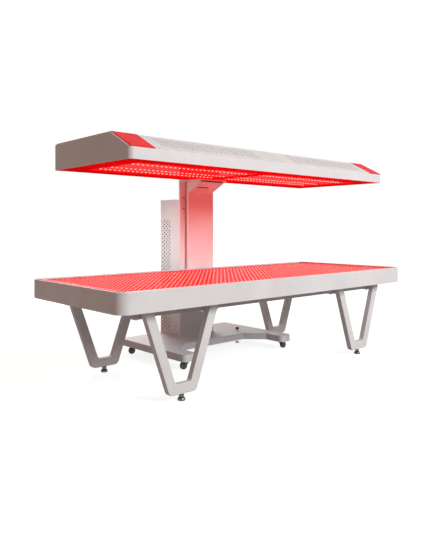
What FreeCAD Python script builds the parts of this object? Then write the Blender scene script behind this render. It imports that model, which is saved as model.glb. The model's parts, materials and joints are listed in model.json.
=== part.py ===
import FreeCAD, Part
import os
import re
import Sketcher

# Red light therapy bed: an LED bed on four V legs, and a wheeled stand behind it whose lifting
# carriage holds an LED canopy over the bed. Millimetres, +Z up, +X along the bed, +Y away from
# the open side, origin on the floor under the middle of the whole object.

SIZES = {
    # bed
    "bed_length": 2000, "bed_width": 780, "bed_top": 486, "apron_height": 87, "apron_corner": 52,
    "apron_wall": 9, "apron_edge": 3, "rim_end": 28, "rim_side": 6, "rear_reach": 240, "fit_gap": 0.5,
    "corner_ease": 4,
    "sheet_thick": 5, "sheet_drop": 1.5, "border_width": 34, "border_height": 7,
    "board_thick": 2, "board_gap": 3, "board_columns": 4, "board_rows": 4,
    "lamp_radius": 4, "lamp_sides": 4, "lamp_height": 3.6, "lamp_columns": 18, "lamp_rows": 6,
    "heatsink_thick": 4, "pan_thick": 1.5, "pan_lift": 3,
    "spacer_radius": 10, "spacer_reach_x": 840, "spacer_reach_y": 280,
    "bed_driver_length": 320, "bed_driver_width": 110, "bed_driver_height": 42, "bed_driver_x": 420,
    # frame under the bed
    "rail_reach_x": 870, "rail_reach_y": 297, "rail_width": 40, "rail_bottom": 366, "tube_wall": 2.5,
    # legs and feet
    "leg_x": 648, "leg_y": 312, "leg_depth": 30, "leg_face": 45, "leg_foot_half": 72,
    "leg_top_half": 203, "leg_bottom": 30, "leg_top": 398, "leg_wall": 2.5, "leg_bend": 26,
    "leg_edge": 3, "boss_radius": 11, "boss_height": 16,
    "plate_length": 96, "plate_depth": 44, "plate_thick": 6, "plate_reach": 176,
    "bolt_radius": 4, "bolt_head": 7, "bolt_head_height": 5, "bolt_spread": 60, "bolt_grip": 14,
    "stem_radius": 6, "stem_top": 62, "pad_radius": 17.5, "pad_edge": 8, "pad_height": 15,
    "fine_gap": 0.05,
    # stand base
    "stand_shift": 65, "slab_bottom": 45, "slab_thick": 38, "slab_half": 415, "slab_front": 145,
    "slab_corner": 22, "arm_width": 85, "arm_front": -80, "brace_run": 100, "tray_wall": 5,
    "castor_front": -40, "castor_back": 435, "castor_half": 372, "wheel_radius": 20,
    "wheel_width": 18, "tread_edge": 4, "hub_recess": 2, "axle_radius": 4, "castor_trail": 14,
    "swivel_radius": 17, "swivel_thick": 3, "swivel_gap": 0.4, "pin_radius": 6, "pin_height": 20,
    "cheek_thick": 4, "cheek_gap": 1, "cheek_width": 27,
    "jack_x": 318, "jack_y": 220, "jack_radius": 5, "jack_knob": 11, "jack_knob_height": 16,
    "jack_knob_lift": 8, "jack_pad": 13, "jack_pad_height": 8, "jack_lift": 8, "soft_edge": 2,
    # mast and column
    "mast_width": 262, "post_width": 80, "post_depth": 45, "post_wall": 4, "mast_top": 1030,
    "cover_gap": 12, "cover_depth": 28, "skin_thick": 2, "skin_top": 335, "strip_thick": 8,
    "column_top": 892, "slab_margin": 10, "panel_thick": 2.5, "lid_thick": 3, "lid_lip": 4,
    "hole_radius": 5, "hole_pitch_y": 17, "hole_pitch_z": 24, "hole_rows": 28, "hole_from": 110,
    "hole_back": 22, "head_thick": 3, "head_from": 905,
    "rail_thick": 8, "rail_wide": 14, "rail_from": 345, "slide_gap": 0.3,
    "tube_radius": 26, "tube_from": 150, "tube_to": 538, "tube_floor": 5,
    "rod_radius": 14, "rod_from": 410, "motor_width": 90, "motor_depth": 80, "actuator_inset": 42,
    "electronics_depth": 62, "electronics_width": 170, "electronics_inset": 12,
    "controller_from": 150, "controller_to": 400, "supply_from": 430, "supply_to": 700,
    "inlet_x": 82, "inlet_z": 150, "inlet_width": 48, "inlet_height": 30, "inlet_depth": 21,
    "inlet_mouth_width": 28, "inlet_mouth_height": 16, "inlet_mouth_depth": 8,
    "face_thick": 3, "face_lip": 4, "switch_z": 200, "switch_width": 22, "switch_height": 30,
    "switch_depth": 9, "switch_room": 1, "housing_wall": 3, "housing_depth": 14, "pivot_radius": 2,
    "pivot_reach": 1.5, "switch_tilt": 6, "switch_stand": 3.6, "switch_dip": 2,
    # carriage and bracket
    "block_half": 36, "block_from": 600, "block_to": 880, "block_back_gap": 3,
    "lug_from": 792, "lug_thick": 20, "lug_half": 24, "lug_over": 6,
    "shoe_height": 60, "shoe_inset": 12, "shoe_wide": 30, "spine_half": 45, "spine_from": 430,
    "carriage_face": 22, "cover_width": 181, "cover_from": 400, "cover_to": 898, "cover_wall": 3,
    "cover_clear": 4, "bracket_half": 90, "gusset_thick": 5, "bracket_knee": 936,
    "bracket_reach": 112, "bracket_nose": 7, "bracket_plate": 4, "top_plate_half": 110,
    "slot_left": -70, "slot_right": 20, "slot_from": 962, "slot_height": 5,
    "top_plate_thick": 6, "top_plate_lip": 6, "top_plate_corner": 8,
    # canopy
    "canopy_half": 935, "canopy_depth": 660, "canopy_bottom": 1008, "canopy_front_height": 48,
    "canopy_height": 126, "slope_run": 148, "canopy_sheet": 2, "canopy_corner": 26, "shell_edge": 4,
    "band_width": 125, "band_inset": 6, "band_thick": 4, "slope_edge": 7, "window_edge": 14,
    "vent_radius": 5.5, "vent_pitch_x": 24, "vent_pitch_slope": 19, "vent_columns": 26,
    "vent_from": 140, "frame_width": 110, "frame_ledge": 17, "frame_height": 4, "lens_thick": 3,
    "divider_width": 22, "web_width": 10, "canopy_board_gap": 5,
    "arm_half": 40, "arm_height": 40, "arm_wall": 4, "arm_setback": 60, "beam_half": 880,
    "beam_depth": 60, "beam_back": 277, "canopy_driver_x": 520, "canopy_driver_length": 300,
    "canopy_driver_width": 120, "canopy_driver_height": 46, "canopy_driver_back": 110,
    "fan_x": 440, "fan_size": 92, "fan_thick": 25, "fan_bore": 43, "fan_corner": 6, "fan_hub": 17,
    "fan_blade": 41, "fan_pin": 3, "fan_strut": 6, "fan_strut_thick": 2.5, "blade_thick": 3,
    "blade_sweep": 5, "hub_lift": 4,
}

# places worked out from the sizes
BED_Y = "(-rear_reach/2)"
BED_BOTTOM = "(bed_top - apron_height)"
PAN_BOTTOM = f"({BED_BOTTOM} + pan_lift)"
PAN_TOP = f"({PAN_BOTTOM} + pan_thick)"
SHEET_BOTTOM = "(bed_top - sheet_drop - sheet_thick)"
BOARD_BOTTOM = f"({SHEET_BOTTOM} - border_height - board_thick)"
HEATSINK_BOTTOM = f"({BOARD_BOTTOM} - heatsink_thick)"
PLATE_BOTTOM = "(rail_bottom - plate_thick)"
SLAB_TOP = "(slab_bottom + slab_thick)"
SLAB_BACK = "(bed_width/2 + rear_reach/2)"
COVER_FRONT = "(bed_width/2 - rear_reach/2 + cover_gap)"
CARRIAGE_FACE = f"({COVER_FRONT} + carriage_face)"
MAST_FRONT = f"({COVER_FRONT} + cover_depth)"
MAST_MIDDLE = f"({MAST_FRONT} + post_depth/2)"
POST_BACK = f"({MAST_FRONT} + post_depth)"
COLUMN_BACK = f"({SLAB_BACK} - slab_margin)"
COLUMN_INNER = f"({COLUMN_BACK} - panel_thick)"
GAP_HALF = "(mast_width/2 - post_width)"
ROD_Y = f"({POST_BACK} + actuator_inset)"
INLET_X = "(stand_shift + inlet_x)"
CANOPY_BACK = COVER_FRONT
CANOPY_FRONT = f"({COVER_FRONT} - canopy_depth)"
CANOPY_TOP = "(canopy_bottom + canopy_height)"
LENS_BOTTOM = "(canopy_bottom + frame_height)"
CANOPY_BOARD = f"({LENS_BOTTOM} + lens_thick + canopy_board_gap)"
BOARD_TOP = f"({CANOPY_BOARD} + board_thick)"
PLATE_UNDER_CANOPY = "(canopy_bottom - top_plate_thick)"
SLOPE_RISE = "(canopy_height - canopy_front_height)"
SLOPE = f"sqrt(slope_run^2 + {SLOPE_RISE}^2)"
SLOPE_ANGLE = f"atan({SLOPE_RISE}/slope_run)"

ALIAS = re.compile(r"[a-z]+(?:_[a-z]+)+")
SIDES = (("left", -1), ("right", 1))
ENDS = (("front", -1), ("back", 1))

doc = FreeCAD.newDocument("red_light_therapy_bed")
dims = doc.addObject("Spreadsheet::Sheet", "dims")
for row, (alias, value) in enumerate(SIZES.items(), 1):
    dims.set(f"A{row}", alias)
    dims.set(f"B{row}", str(value))
    dims.setAlias(f"B{row}", alias)
doc.recompute()

nodes = []


def full(formula):
    """A formula of alias names as an expression that reads the sheet."""
    return ALIAS.sub(lambda word: "dims." + word.group(), str(formula))


def number(formula):
    """What a formula comes to with the sheet's values, in millimetres."""
    return float(dims.evalExpression(full(formula)))


def bind(item, **formulas):
    """Bind properties of an object to formulas; x, y and z are its place."""
    for key, formula in formulas.items():
        name = f"Placement.Base.{key}" if key in ("x", "y", "z") else key
        item.setExpression(name, full(formula))
    return item


def turn(item, axis, angle):
    """Turn an object about one axis by an angle formula, in degrees."""
    item.Placement.Rotation = FreeCAD.Rotation(FreeCAD.Vector(*axis), 1)
    item.setExpression("Placement.Rotation.Angle", full(angle))
    return item


def node(item, name):
    """Name an object as a finished sub-part."""
    item.Label = name
    nodes.append(item)


def around(centre, size):
    """The low and high end of a length about its middle."""
    return f"({centre}) - ({size})/2", f"({centre}) + ({size})/2"


def upward(start, size):
    """The low and high end of a length from its start."""
    return start, f"({start}) + ({size})"


def inside(span, amount):
    """A span drawn in by an amount at both ends."""
    return f"{span[0]} + ({amount})", f"{span[1]} - ({amount})"


def on_side(side, near, far):
    """A span to the left (-1) or right (1) of the stand's middle, as (low, high)."""
    ends = (f"stand_shift + {side}*({near})", f"stand_shift + {side}*({far})")
    return ends if side > 0 else ends[::-1]


def box(name, x, y, z):
    """A block given as (low, high) on each axis."""
    item = doc.addObject("Part::Box", name)
    bind(item, x=x[0], y=y[0], z=z[0])
    return bind(item, Length=f"{x[1]} - ({x[0]})", Width=f"{y[1]} - ({y[0]})", Height=f"{z[1]} - ({z[0]})")


def rod(name, radius, z, x, y):
    """An upright cylinder over a (low, high) span."""
    item = doc.addObject("Part::Cylinder", name)
    return bind(item, Radius=radius, Height=f"{z[1]} - ({z[0]})", x=x, y=y, z=z[0])


def cut(name, base, tool):
    item = doc.addObject("Part::Cut", name)
    item.Base = base
    item.Tool = tool
    return item


def fuse(name, pieces):
    item = doc.addObject("Part::MultiFuse", name)
    item.Shapes = pieces
    item.Refine = True
    return item


def group(name, pieces):
    """Separate solids that share one sub-part."""
    item = doc.addObject("Part::Compound", name)
    item.Links = pieces
    return item


def copy(item, x, y):
    """A linked copy of an object, moved along X and Y."""
    link = doc.addObject("App::Link", item.Name + "_copy")
    link.LinkedObject = item
    return bind(link, x=x, y=y)


def tube(name, x, y, z, wall, along):
    """A block that is hollow right through along one axis."""
    inner = [inside(span, "-1" if axis == along else wall) for axis, span in zip("xyz", (x, y, z))]
    return cut(name, box(name + "_outside", x, y, z), box(name + "_inside", *inner))


def new_body(name):
    return doc.addObject("PartDesign::Body", name)


def new_sketch(body, role, offset="0"):
    """A sketch on one of the body's origin planes, moved along that plane's normal."""
    plane = next(item for item in body.Origin.OriginFeatures if item.Role == role)
    sketch = body.newObject("Sketcher::SketchObject", body.Name + "_sketch")
    sketch.AttachmentSupport = (plane, [""])
    sketch.MapMode = "FlatFace"
    sketch.setExpression("AttachmentOffset.Base.z", full(offset))
    return sketch


def pin_point(sketch, geometry, point, x, y):
    """Bind a point of a sketch to formulas for its two coordinates."""
    for kind, formula in (("DistanceX", x), ("DistanceY", y)):
        index = sketch.addConstraint(Sketcher.Constraint(kind, -1, 1, geometry, point, number(formula)))
        sketch.setExpression(f"Constraints[{index}]", full(formula))


def outline(sketch, points):
    """A closed outline whose corners are bound to formulas."""
    corners = [FreeCAD.Vector(number(x), number(y), 0) for x, y in points]
    first = sketch.GeometryCount
    count = len(corners)
    for i in range(count):
        sketch.addGeometry(Part.LineSegment(corners[i], corners[(i + 1) % count]))
    for i in range(count):
        following = first + (i + 1) % count
        sketch.addConstraint(Sketcher.Constraint("Coincident", first + i, 2, following, 1))
    for i, (x, y) in enumerate(points):
        pin_point(sketch, first + i, 1, x, y)


def rectangle(sketch, x, y):
    """A rectangle given as (low, high) on the sketch's two axes."""
    outline(sketch, [(x[0], y[0]), (x[1], y[0]), (x[1], y[1]), (x[0], y[1])])


def hole(sketch, x, y, radius):
    """A circle whose centre and radius are bound to formulas."""
    centre = FreeCAD.Vector(number(x), number(y), 0)
    index = sketch.addGeometry(Part.Circle(centre, FreeCAD.Vector(0, 0, 1), number(radius)))
    pin_point(sketch, index, 3, x, y)
    size = sketch.addConstraint(Sketcher.Constraint("Radius", index, number(radius)))
    sketch.setExpression(f"Constraints[{size}]", full(radius))


def extrude(body, kind, sketch, length, symmetric=False, reverse=False):
    """A Pad or Pocket of a sketch."""
    feature = body.newObject("PartDesign::" + kind, f"{body.Name}_{kind.lower()}")
    feature.Profile = sketch
    feature.SideType = "Symmetric" if symmetric else "One side"
    feature.Reversed = reverse
    feature.setExpression("Length", full(length))
    doc.recompute()
    return feature


def pocket(body, sketch, length, symmetric=False, reverse=False):
    """A Pocket that is known to have taken material away."""
    before = body.Shape.Volume
    feature = extrude(body, "Pocket", sketch, length, symmetric, reverse)
    if body.Shape.Volume > before - 1:
        raise RuntimeError(f"{body.Name}: the pocket cuts nothing")
    return feature


def round_edges(body, radius, wanted):
    """Fillet the edges of the body's last feature that a test picks."""
    base = body.Tip
    names = [f"Edge{i}" for i, edge in enumerate(base.Shape.Edges, 1) if wanted(edge)]
    feature = body.newObject("PartDesign::Fillet", body.Name + "_fillet")
    feature.Base = (base, names)
    feature.setExpression("Radius", full(radius))
    doc.recompute()


def repeat(body, features, sketch, axis, pitch, count):
    """A row of features along one axis of a sketch."""
    pattern = body.newObject("PartDesign::LinearPattern", body.Name + "_row")
    pattern.Originals = features
    pattern.Direction = (sketch, [axis])
    pattern.setExpression("Length", full(f"{pitch} * ({count} - 1)"))
    pattern.setExpression("Occurrences", full(count))
    body.Tip = pattern
    doc.recompute()


def turned(name, profile):
    """A body of revolution about Z from an outline of (radius, height)."""
    body = new_body(name)
    sketch = new_sketch(body, "XZ_Plane")
    outline(sketch, profile)
    feature = body.newObject("PartDesign::Revolution", name + "_turn")
    feature.Profile = sketch
    feature.ReferenceAxis = (sketch, ["V_Axis"])
    feature.Angle = 360
    doc.recompute()
    return body


def at_corners(x, y):
    """A test for the upright edges over the corners of a rectangle."""
    corners = [(number(a), number(b)) for a in x for b in y]

    def wanted(edge):
        size = edge.BoundBox
        level = size.XLength + size.YLength < 1e-4
        return level and any(abs(size.XMin - a) + abs(size.YMin - b) < 0.01 for a, b in corners)
    return wanted


def around_face(body, height):
    """A test for the outer edges of the flat face at a height."""
    faces = [face for face in body.Tip.Shape.Faces if abs(face.BoundBox.ZMin - height) < 0.01]
    rim = [edge for face in faces for edge in face.OuterWire.Edges]
    return lambda edge: any(edge.isSame(other) for other in rim)


def plate(name, x, y, z, corner=None):
    """A flat plate given as (low, high) on each axis, with rounded corners."""
    body = new_body(name)
    sketch = new_sketch(body, "XY_Plane", z[0])
    rectangle(sketch, x, y)
    extrude(body, "Pad", sketch, f"{z[1]} - ({z[0]})")
    if corner:
        round_edges(body, corner, at_corners(x, y))
    return body


def window_frame(name, x, y, z, window, corner=None):
    """A plate with a rectangular window, with rounded outer corners."""
    body = new_body(name)
    sketch = new_sketch(body, "XY_Plane", z[0])
    rectangle(sketch, x, y)
    rectangle(sketch, *window)
    extrude(body, "Pad", sketch, f"{z[1]} - ({z[0]})")
    if corner:
        round_edges(body, corner, at_corners(x, y))
    return body


def ring(name, x, y, z, width, corner=None):
    """A rectangular frame of one width, with rounded outer corners."""
    return window_frame(name, x, y, z, (inside(x, width), inside(y, width)), corner)


# bed: apron, border, top sheet, LED boards and what carries them

BED_SPAN = around("0", "bed_length")
BED_DEPTH = around(BED_Y, "bed_width")
APRON_SPAN = inside(BED_SPAN, "apron_wall")
APRON_DEPTH = inside(BED_DEPTH, "apron_wall")
WINDOW_SPAN = inside(APRON_SPAN, "rim_end")
WINDOW_DEPTH = inside(APRON_DEPTH, "rim_side")
LAYER_SPAN = inside(APRON_SPAN, "fit_gap")
LAYER_DEPTH = inside(APRON_DEPTH, "fit_gap")
LAYER_CORNER = "apron_corner - apron_wall"


def bed_apron():
    wall = ring("apron", BED_SPAN, BED_DEPTH, (BED_BOTTOM, SHEET_BOTTOM), "apron_wall", "apron_corner")
    round_edges(wall, LAYER_CORNER, at_corners(APRON_SPAN, APRON_DEPTH))
    rim_level = (SHEET_BOTTOM, "bed_top")
    window = (WINDOW_SPAN, WINDOW_DEPTH)
    rim = window_frame("rim", BED_SPAN, BED_DEPTH, rim_level, window, "apron_corner")
    round_edges(rim, "corner_ease", at_corners(WINDOW_SPAN, WINDOW_DEPTH))
    round_edges(rim, "apron_edge", around_face(rim, number("bed_top")))
    node(fuse("apron_and_rim", [wall, rim]), "bed_apron")


def lamp_board(corner, size):
    """The front left LED board, with its columns and rows of lamps."""
    x, y = (inside((low, f"{low} + {length}"), "board_gap/2") for low, length in zip(corner, size))
    level = upward(BOARD_BOTTOM, "board_thick")
    body = plate("bed_board", x, y, level)
    pitch_x = f"{size[0]}/lamp_columns"
    pitch_y = f"{size[1]}/lamp_rows"
    lamps = []
    for row in range(int(number("lamp_rows"))):
        lamp = body.newObject("PartDesign::AdditivePrism", "lamp")
        bind(lamp, Polygon="lamp_sides", Circumradius="lamp_radius", Height="lamp_height")
        bind(lamp, x=f"{corner[0]} + {pitch_x}/2", y=f"{corner[1]} + ({row} + 1/2)*{pitch_y}", z=level[1])
        lamps.append(lamp)
    doc.recompute()
    repeat(body, lamps, body.Group[0], "H_Axis", pitch_x, "lamp_columns")
    return body


def bed_layers():
    pan_corner = f"{LAYER_CORNER} + corner_ease"
    pan = plate("pan", APRON_SPAN, APRON_DEPTH, (PAN_BOTTOM, PAN_TOP), pan_corner)
    node(pan, "bed_pan")
    sheet_area = inside(WINDOW_SPAN, "fit_gap"), inside(WINDOW_DEPTH, "fit_gap")
    node(plate("sheet", *sheet_area, upward(SHEET_BOTTOM, "sheet_thick"), "corner_ease"), "bed_top_sheet")
    border_level = (BOARD_BOTTOM, SHEET_BOTTOM)
    node(ring("border", LAYER_SPAN, LAYER_DEPTH, border_level, "border_width", LAYER_CORNER), "bed_border")
    heatsink_level = (HEATSINK_BOTTOM, BOARD_BOTTOM)
    pieces = [plate("heatsink_plate", LAYER_SPAN, LAYER_DEPTH, heatsink_level, LAYER_CORNER)]
    for across in (-1, -0.33, 0.33, 1):
        for along in (-1, 0, 1):
            place = (f"{across}*spacer_reach_x", f"{BED_Y} + {along}*spacer_reach_y")
            pieces.append(rod("spacer", "spacer_radius", (PAN_TOP, HEATSINK_BOTTOM), *place))
    node(fuse("heatsink", pieces), "bed_heatsink")
    counts = "board_columns", "board_rows"
    field = inside(LAYER_SPAN, "border_width"), inside(LAYER_DEPTH, "border_width")
    pitch = [f"({high} - ({low}))/{count}" for (low, high), count in zip(field, counts)]
    board = lamp_board([low for low, high in field], pitch)
    columns, rows = (int(number(count)) for count in counts)
    boards = [copy(board, f"{i}*{pitch[0]}", f"{j}*{pitch[1]}") for i in range(columns) for j in range(rows)]
    node(group("bed_boards", boards), "bed_led_boards")
    drivers = []
    for name, side in SIDES:
        x = around(f"{side}*bed_driver_x", "bed_driver_length")
        y = around(f"{BED_Y} - spacer_reach_y/2", "bed_driver_width")
        drivers.append(box("bed_driver", x, y, upward(PAN_TOP, "bed_driver_height")))
    node(group("bed_drivers", drivers), "bed_power_supplies")


def bolt_places(across, along):
    """Where one leg's plates are bolted to its long rail."""
    y = f"{BED_Y} + {along}*(rail_reach_y - rail_width/2)"
    return [(f"{across}*leg_x + {arm}*plate_reach + {end}*bolt_spread/2", y)
            for arm in (-1, 1) for end in (-1, 1)]


def bolt_holes(across, along):
    level = (f"{PLATE_BOTTOM} - 1", f"{PLATE_BOTTOM} + bolt_grip + 1")
    return [rod("bolt_hole", "bolt_radius + fine_gap", level, *place) for place in bolt_places(across, along)]


def bed_frame():
    level = ("rail_bottom", PAN_BOTTOM)
    for name, along in ENDS:
        y = around(f"{BED_Y} + {along}*(rail_reach_y - rail_width/2)", "rail_width")
        long_tube = tube(name + "_tube", ("-rail_reach_x", "rail_reach_x"), y, level, "tube_wall", "x")
        holes = group(name + "_holes", bolt_holes(-1, along) + bolt_holes(1, along))
        node(cut(name + "_rail", long_tube, holes), f"bed_{name}_rail")
    between = around(BED_Y, "2*rail_reach_y - 2*rail_width")
    crossing = []
    for place in (-1, -0.34, 0.34, 1):
        x = around(f"{place}*(rail_reach_x - rail_width/2)", "rail_width")
        crossing.append(tube("cross_tube", x, between, level, "tube_wall", "y"))
    node(group("cross_tubes", crossing), "bed_cross_rails")
    bolts = []
    for place in [place for across in (-1, 1) for along in (-1, 1) for place in bolt_places(across, along)]:
        head = rod("bolt_head", "bolt_head", (f"{PLATE_BOTTOM} - bolt_head_height", PLATE_BOTTOM), *place)
        shank = rod("bolt_shank", "bolt_radius", upward(PLATE_BOTTOM, "bolt_grip"), *place)
        bolts.append(fuse("bolt", [head, shank]))
    node(group("bolts", bolts), "leg_bolts")


LEG_SLANT = "((leg_top_half - leg_foot_half)/(leg_top - leg_bottom))"


def v_outline(sketch, inset, top):
    """The V of a leg, drawn in by inset all round, with its arms cut off at a height."""
    def arm_x(depth, z):
        shift = f"({depth})*sqrt(1 + {LEG_SLANT}^2)"
        return f"(leg_foot_half + {LEG_SLANT}*({z} - leg_bottom) - {shift})"
    low = f"(leg_bottom + {inset})"
    high = f"(leg_bottom + leg_face - {inset})"
    inner = f"leg_face - {inset}"
    right = [(arm_x(inset, low), low), (arm_x(inset, top), top),
             (arm_x(inner, top), top), (arm_x(inner, high), high)]
    outline(sketch, right + [(f"-{x}", z) for x, z in reversed(right)])


def leg(name, across, along):
    """A V of bent tube with a foot boss, and the plates that bolt up to the bed's rail."""
    body = new_body(name + "_tube")
    sketch = new_sketch(body, "XZ_Plane")
    v_outline(sketch, "0", "leg_top")
    extrude(body, "Pad", sketch, "leg_depth", symmetric=True)
    low = number("leg_bottom") + 1
    high = number("leg_bottom + leg_face")
    round_edges(body, "leg_bend", lambda e: e.BoundBox.YLength > 1 and e.BoundBox.ZMax < low)
    round_edges(body, "leg_bend/2", lambda e: e.BoundBox.YLength > 1 and abs(e.BoundBox.ZMax - high) < 1)
    face = number("leg_depth/2")
    crown = number("leg_top") - 1

    def long_edge(edge):
        size = edge.BoundBox
        return size.YLength < 0.01 and abs(abs(size.YMin) - face) < 0.01 and size.ZMin < crown
    round_edges(body, "leg_edge", long_edge)
    hollow = new_sketch(body, "XZ_Plane")
    v_outline(hollow, "leg_wall", "(leg_top + 1)")
    pocket(body, hollow, "leg_depth - 2*leg_wall", symmetric=True)
    place = (f"{across}*leg_x", f"{BED_Y} + {along}*leg_y")
    bind(body, x=place[0], y=place[1])
    pieces = [body, rod("boss", "boss_radius", upward("leg_bottom + leg_wall/2", "boss_height"), *place)]
    for arm in (-1, 1):
        x = around(f"{place[0]} + {arm}*plate_reach", "plate_length")
        y = around(f"{BED_Y} + {along}*(rail_reach_y - plate_depth/2)", "plate_depth")
        pieces.append(box("leg_plate", x, y, (PLATE_BOTTOM, "rail_bottom")))
    stem_level = ("leg_bottom - 1", "leg_bottom + leg_face/2")
    stem_hole = rod("stem_hole", "stem_radius + fine_gap", stem_level, *place)
    holes = group(name + "_holes", [stem_hole] + bolt_holes(across, along))
    node(cut(name + "_cut", fuse(name + "_weld", pieces), holes), name)


def foot(name, across, along):
    """A levelling foot: a pad with a stem that screws into the leg's boss."""
    collar = "stem_radius + pad_edge/2"
    profile = [("0", "0"), ("pad_radius", "0"), ("pad_radius", "pad_edge"), (collar, "pad_height"),
               ("stem_radius", "pad_height"), ("stem_radius", "stem_top"), ("0", "stem_top")]
    body = turned(name + "_body", profile)
    node(bind(body, x=f"{across}*leg_x", y=f"{BED_Y} + {along}*leg_y"), name)


# stand: base, castors, stabilising screw, mast posts and column

def stand_base():
    through = inside(("slab_bottom", SLAB_TOP), "-1")
    pins = [rod("jack_hole", "jack_radius + fine_gap", through, "jack_x", "jack_y")]
    for name, side in SIDES:
        for place in ("castor_front", "castor_back"):
            level = ("slab_bottom - 1", "slab_bottom + pin_height + 1")
            x = f"stand_shift + {side}*castor_half"
            pins.append(rod("pin_hole", "pin_radius + fine_gap", level, x, place))
    holes = group("base_holes", pins)
    span = around("stand_shift", "2*slab_half")
    slab = new_body("slab_body")
    sketch = new_sketch(slab, "XY_Plane", "slab_bottom")
    rectangle(sketch, span, ("slab_front", SLAB_BACK))
    extrude(slab, "Pad", sketch, "slab_thick")
    round_edges(slab, "slab_corner", at_corners(span, (SLAB_BACK,)))
    round_edges(slab, "soft_edge", around_face(slab, number(SLAB_TOP)))
    tray_level = ("slab_bottom - 1", f"{SLAB_TOP} - tray_wall")
    tray_depth = inside(("slab_front", SLAB_BACK), "tray_wall")
    tray = box("tray_room", inside(span, "arm_width"), tray_depth, tray_level)
    jack_boss = rod("jack_boss", "jack_pad", through, "jack_x", "jack_y")
    room = cut("tray_round_boss", tray, jack_boss)
    node(cut("slab", slab, group("slab_openings", [holes, room])), "base_slab")
    for name, side in SIDES:
        outer = f"stand_shift + {side}*slab_half"
        inner = f"stand_shift + {side}*(slab_half - arm_width)"
        brace = f"stand_shift + {side}*(slab_half - arm_width - brace_run)"
        arm = new_body(name + "_arm_body")
        sketch = new_sketch(arm, "XY_Plane", "slab_bottom")
        outline(sketch, [(outer, "arm_front"), (outer, "slab_front"), (brace, "slab_front"),
                         (inner, "slab_front - brace_run"), (inner, "arm_front")])
        extrude(arm, "Pad", sketch, "slab_thick")
        round_edges(arm, "slab_corner", at_corners((outer, inner), ("arm_front",)))
        round_edges(arm, "soft_edge", around_face(arm, number(SLAB_TOP)))
        node(cut(name + "_arm", arm, holes), f"base_{name}_arm")


def castor(name, side, place):
    """A swivelling fork and its wheel, which rolls along X beside the swivel pin."""
    x = f"stand_shift + {side}*castor_half"
    wheel_x = f"({x} + {side}*castor_trail)"
    disc_top = "slab_bottom - swivel_gap"
    disc_bottom = f"{disc_top} - swivel_thick"
    pin = rod("castor_pin", "pin_radius", upward(disc_top, "pin_height"), x, place)
    disc = rod("castor_disc", "swivel_radius", (disc_bottom, disc_top), x, place)
    reach = "(wheel_width/2 + cheek_gap + cheek_thick)"
    axle = doc.addObject("Part::Cylinder", "castor_axle")
    bind(axle, Radius="axle_radius", Height=f"2*{reach}", x=wheel_x, y=f"{place} + {reach}", z="wheel_radius")
    turn(axle, (1, 0, 0), "90")
    cheeks = []
    top = f"{disc_top} - swivel_thick/2"
    around_axle = "axle_radius*1.6"
    for hand in (-1, 1):
        leaf = new_body("castor_cheek")
        sketch = new_sketch(leaf, "XZ_Plane", f"-({place} + {hand}*({reach} - cheek_thick/2))")
        outline(sketch, [(f"{x} - {side}*cheek_width/2", top), (f"{x} + {side}*cheek_width/2", top),
                         (f"{wheel_x} + {side}*{around_axle}", "wheel_radius + axle_radius"),
                         (f"{wheel_x} + {side}*{around_axle}", f"wheel_radius - {around_axle}"),
                         (f"{wheel_x} - {side}*{around_axle}", f"wheel_radius - {around_axle}")])
        extrude(leaf, "Pad", sketch, "cheek_thick", symmetric=True)
        cheeks.append(leaf)
    node(fuse(name + "_fork", [pin, disc, axle] + cheeks), f"castor_{name}_fork")
    half = "wheel_width/2"
    hub = ("wheel_radius*0.5", "wheel_radius*0.6", "wheel_radius*0.72", "wheel_radius*0.8")
    face = [("axle_radius + fine_gap", half), (hub[0], half), (hub[1], f"{half} - hub_recess"),
            (hub[2], f"{half} - hub_recess"), (hub[3], half), ("wheel_radius - tread_edge*0.75", half),
            ("wheel_radius", f"{half} - tread_edge")]
    wheel = turned(name + "_wheel", face + [(radius, f"-({level})") for radius, level in reversed(face)])
    bind(wheel, x=wheel_x, y=place, z="wheel_radius")
    node(turn(wheel, (1, 0, 0), "90"), f"castor_{name}_wheel")


def stabiliser():
    """A stabilising screw through the slab's boss, with a knob above and a pad below."""
    knob = f"({SLAB_TOP} + jack_knob_lift)"
    crown = f"({knob} + jack_knob_height)"
    profile = [("0", "jack_lift"), ("jack_pad", "jack_lift"), ("jack_pad", "jack_lift + jack_pad_height/2"),
               ("jack_radius", "jack_lift + jack_pad_height"), ("jack_radius", knob),
               ("jack_knob - soft_edge", knob), ("jack_knob", f"{knob} + soft_edge"),
               ("jack_knob", f"{crown} - soft_edge"), ("jack_knob - soft_edge", crown), ("0", crown)]
    node(bind(turned("jack", profile), x="jack_x", y="jack_y"), "stabiliser_screw")


def mast():
    mast_span = around("stand_shift", "mast_width")
    post_depth = (MAST_FRONT, POST_BACK)
    for name, side in SIDES:
        across = on_side(side, GAP_HALF, "mast_width/2")
        tall = tube(name + "_post_tube", across, post_depth, (SLAB_TOP, "column_top"), "post_wall", "z")
        lid = box(name + "_post_lid", across, post_depth, ("column_top - lid_thick", "column_top"))
        strip = box(name + "_strip", across, upward(MAST_FRONT, "strip_thick"), ("column_top", "mast_top"))
        rail = box(name + "_guide", on_side(side, f"{GAP_HALF} - rail_thick", GAP_HALF),
                   around(MAST_MIDDLE, "rail_wide"), ("rail_from", "column_top"))
        node(fuse(name + "_post", [tall, lid, strip, rail]), f"mast_{name}_post")
    skin_depth = (f"{MAST_FRONT} - skin_thick", MAST_FRONT)
    node(box("skin", mast_span, skin_depth, (SLAB_TOP, "skin_top")), "mast_lower_panel")
    head_depth = upward(f"{MAST_FRONT} + strip_thick", "head_thick")
    node(box("mast_head", mast_span, head_depth, ("head_from", "mast_top")), "mast_head_plate")


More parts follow.
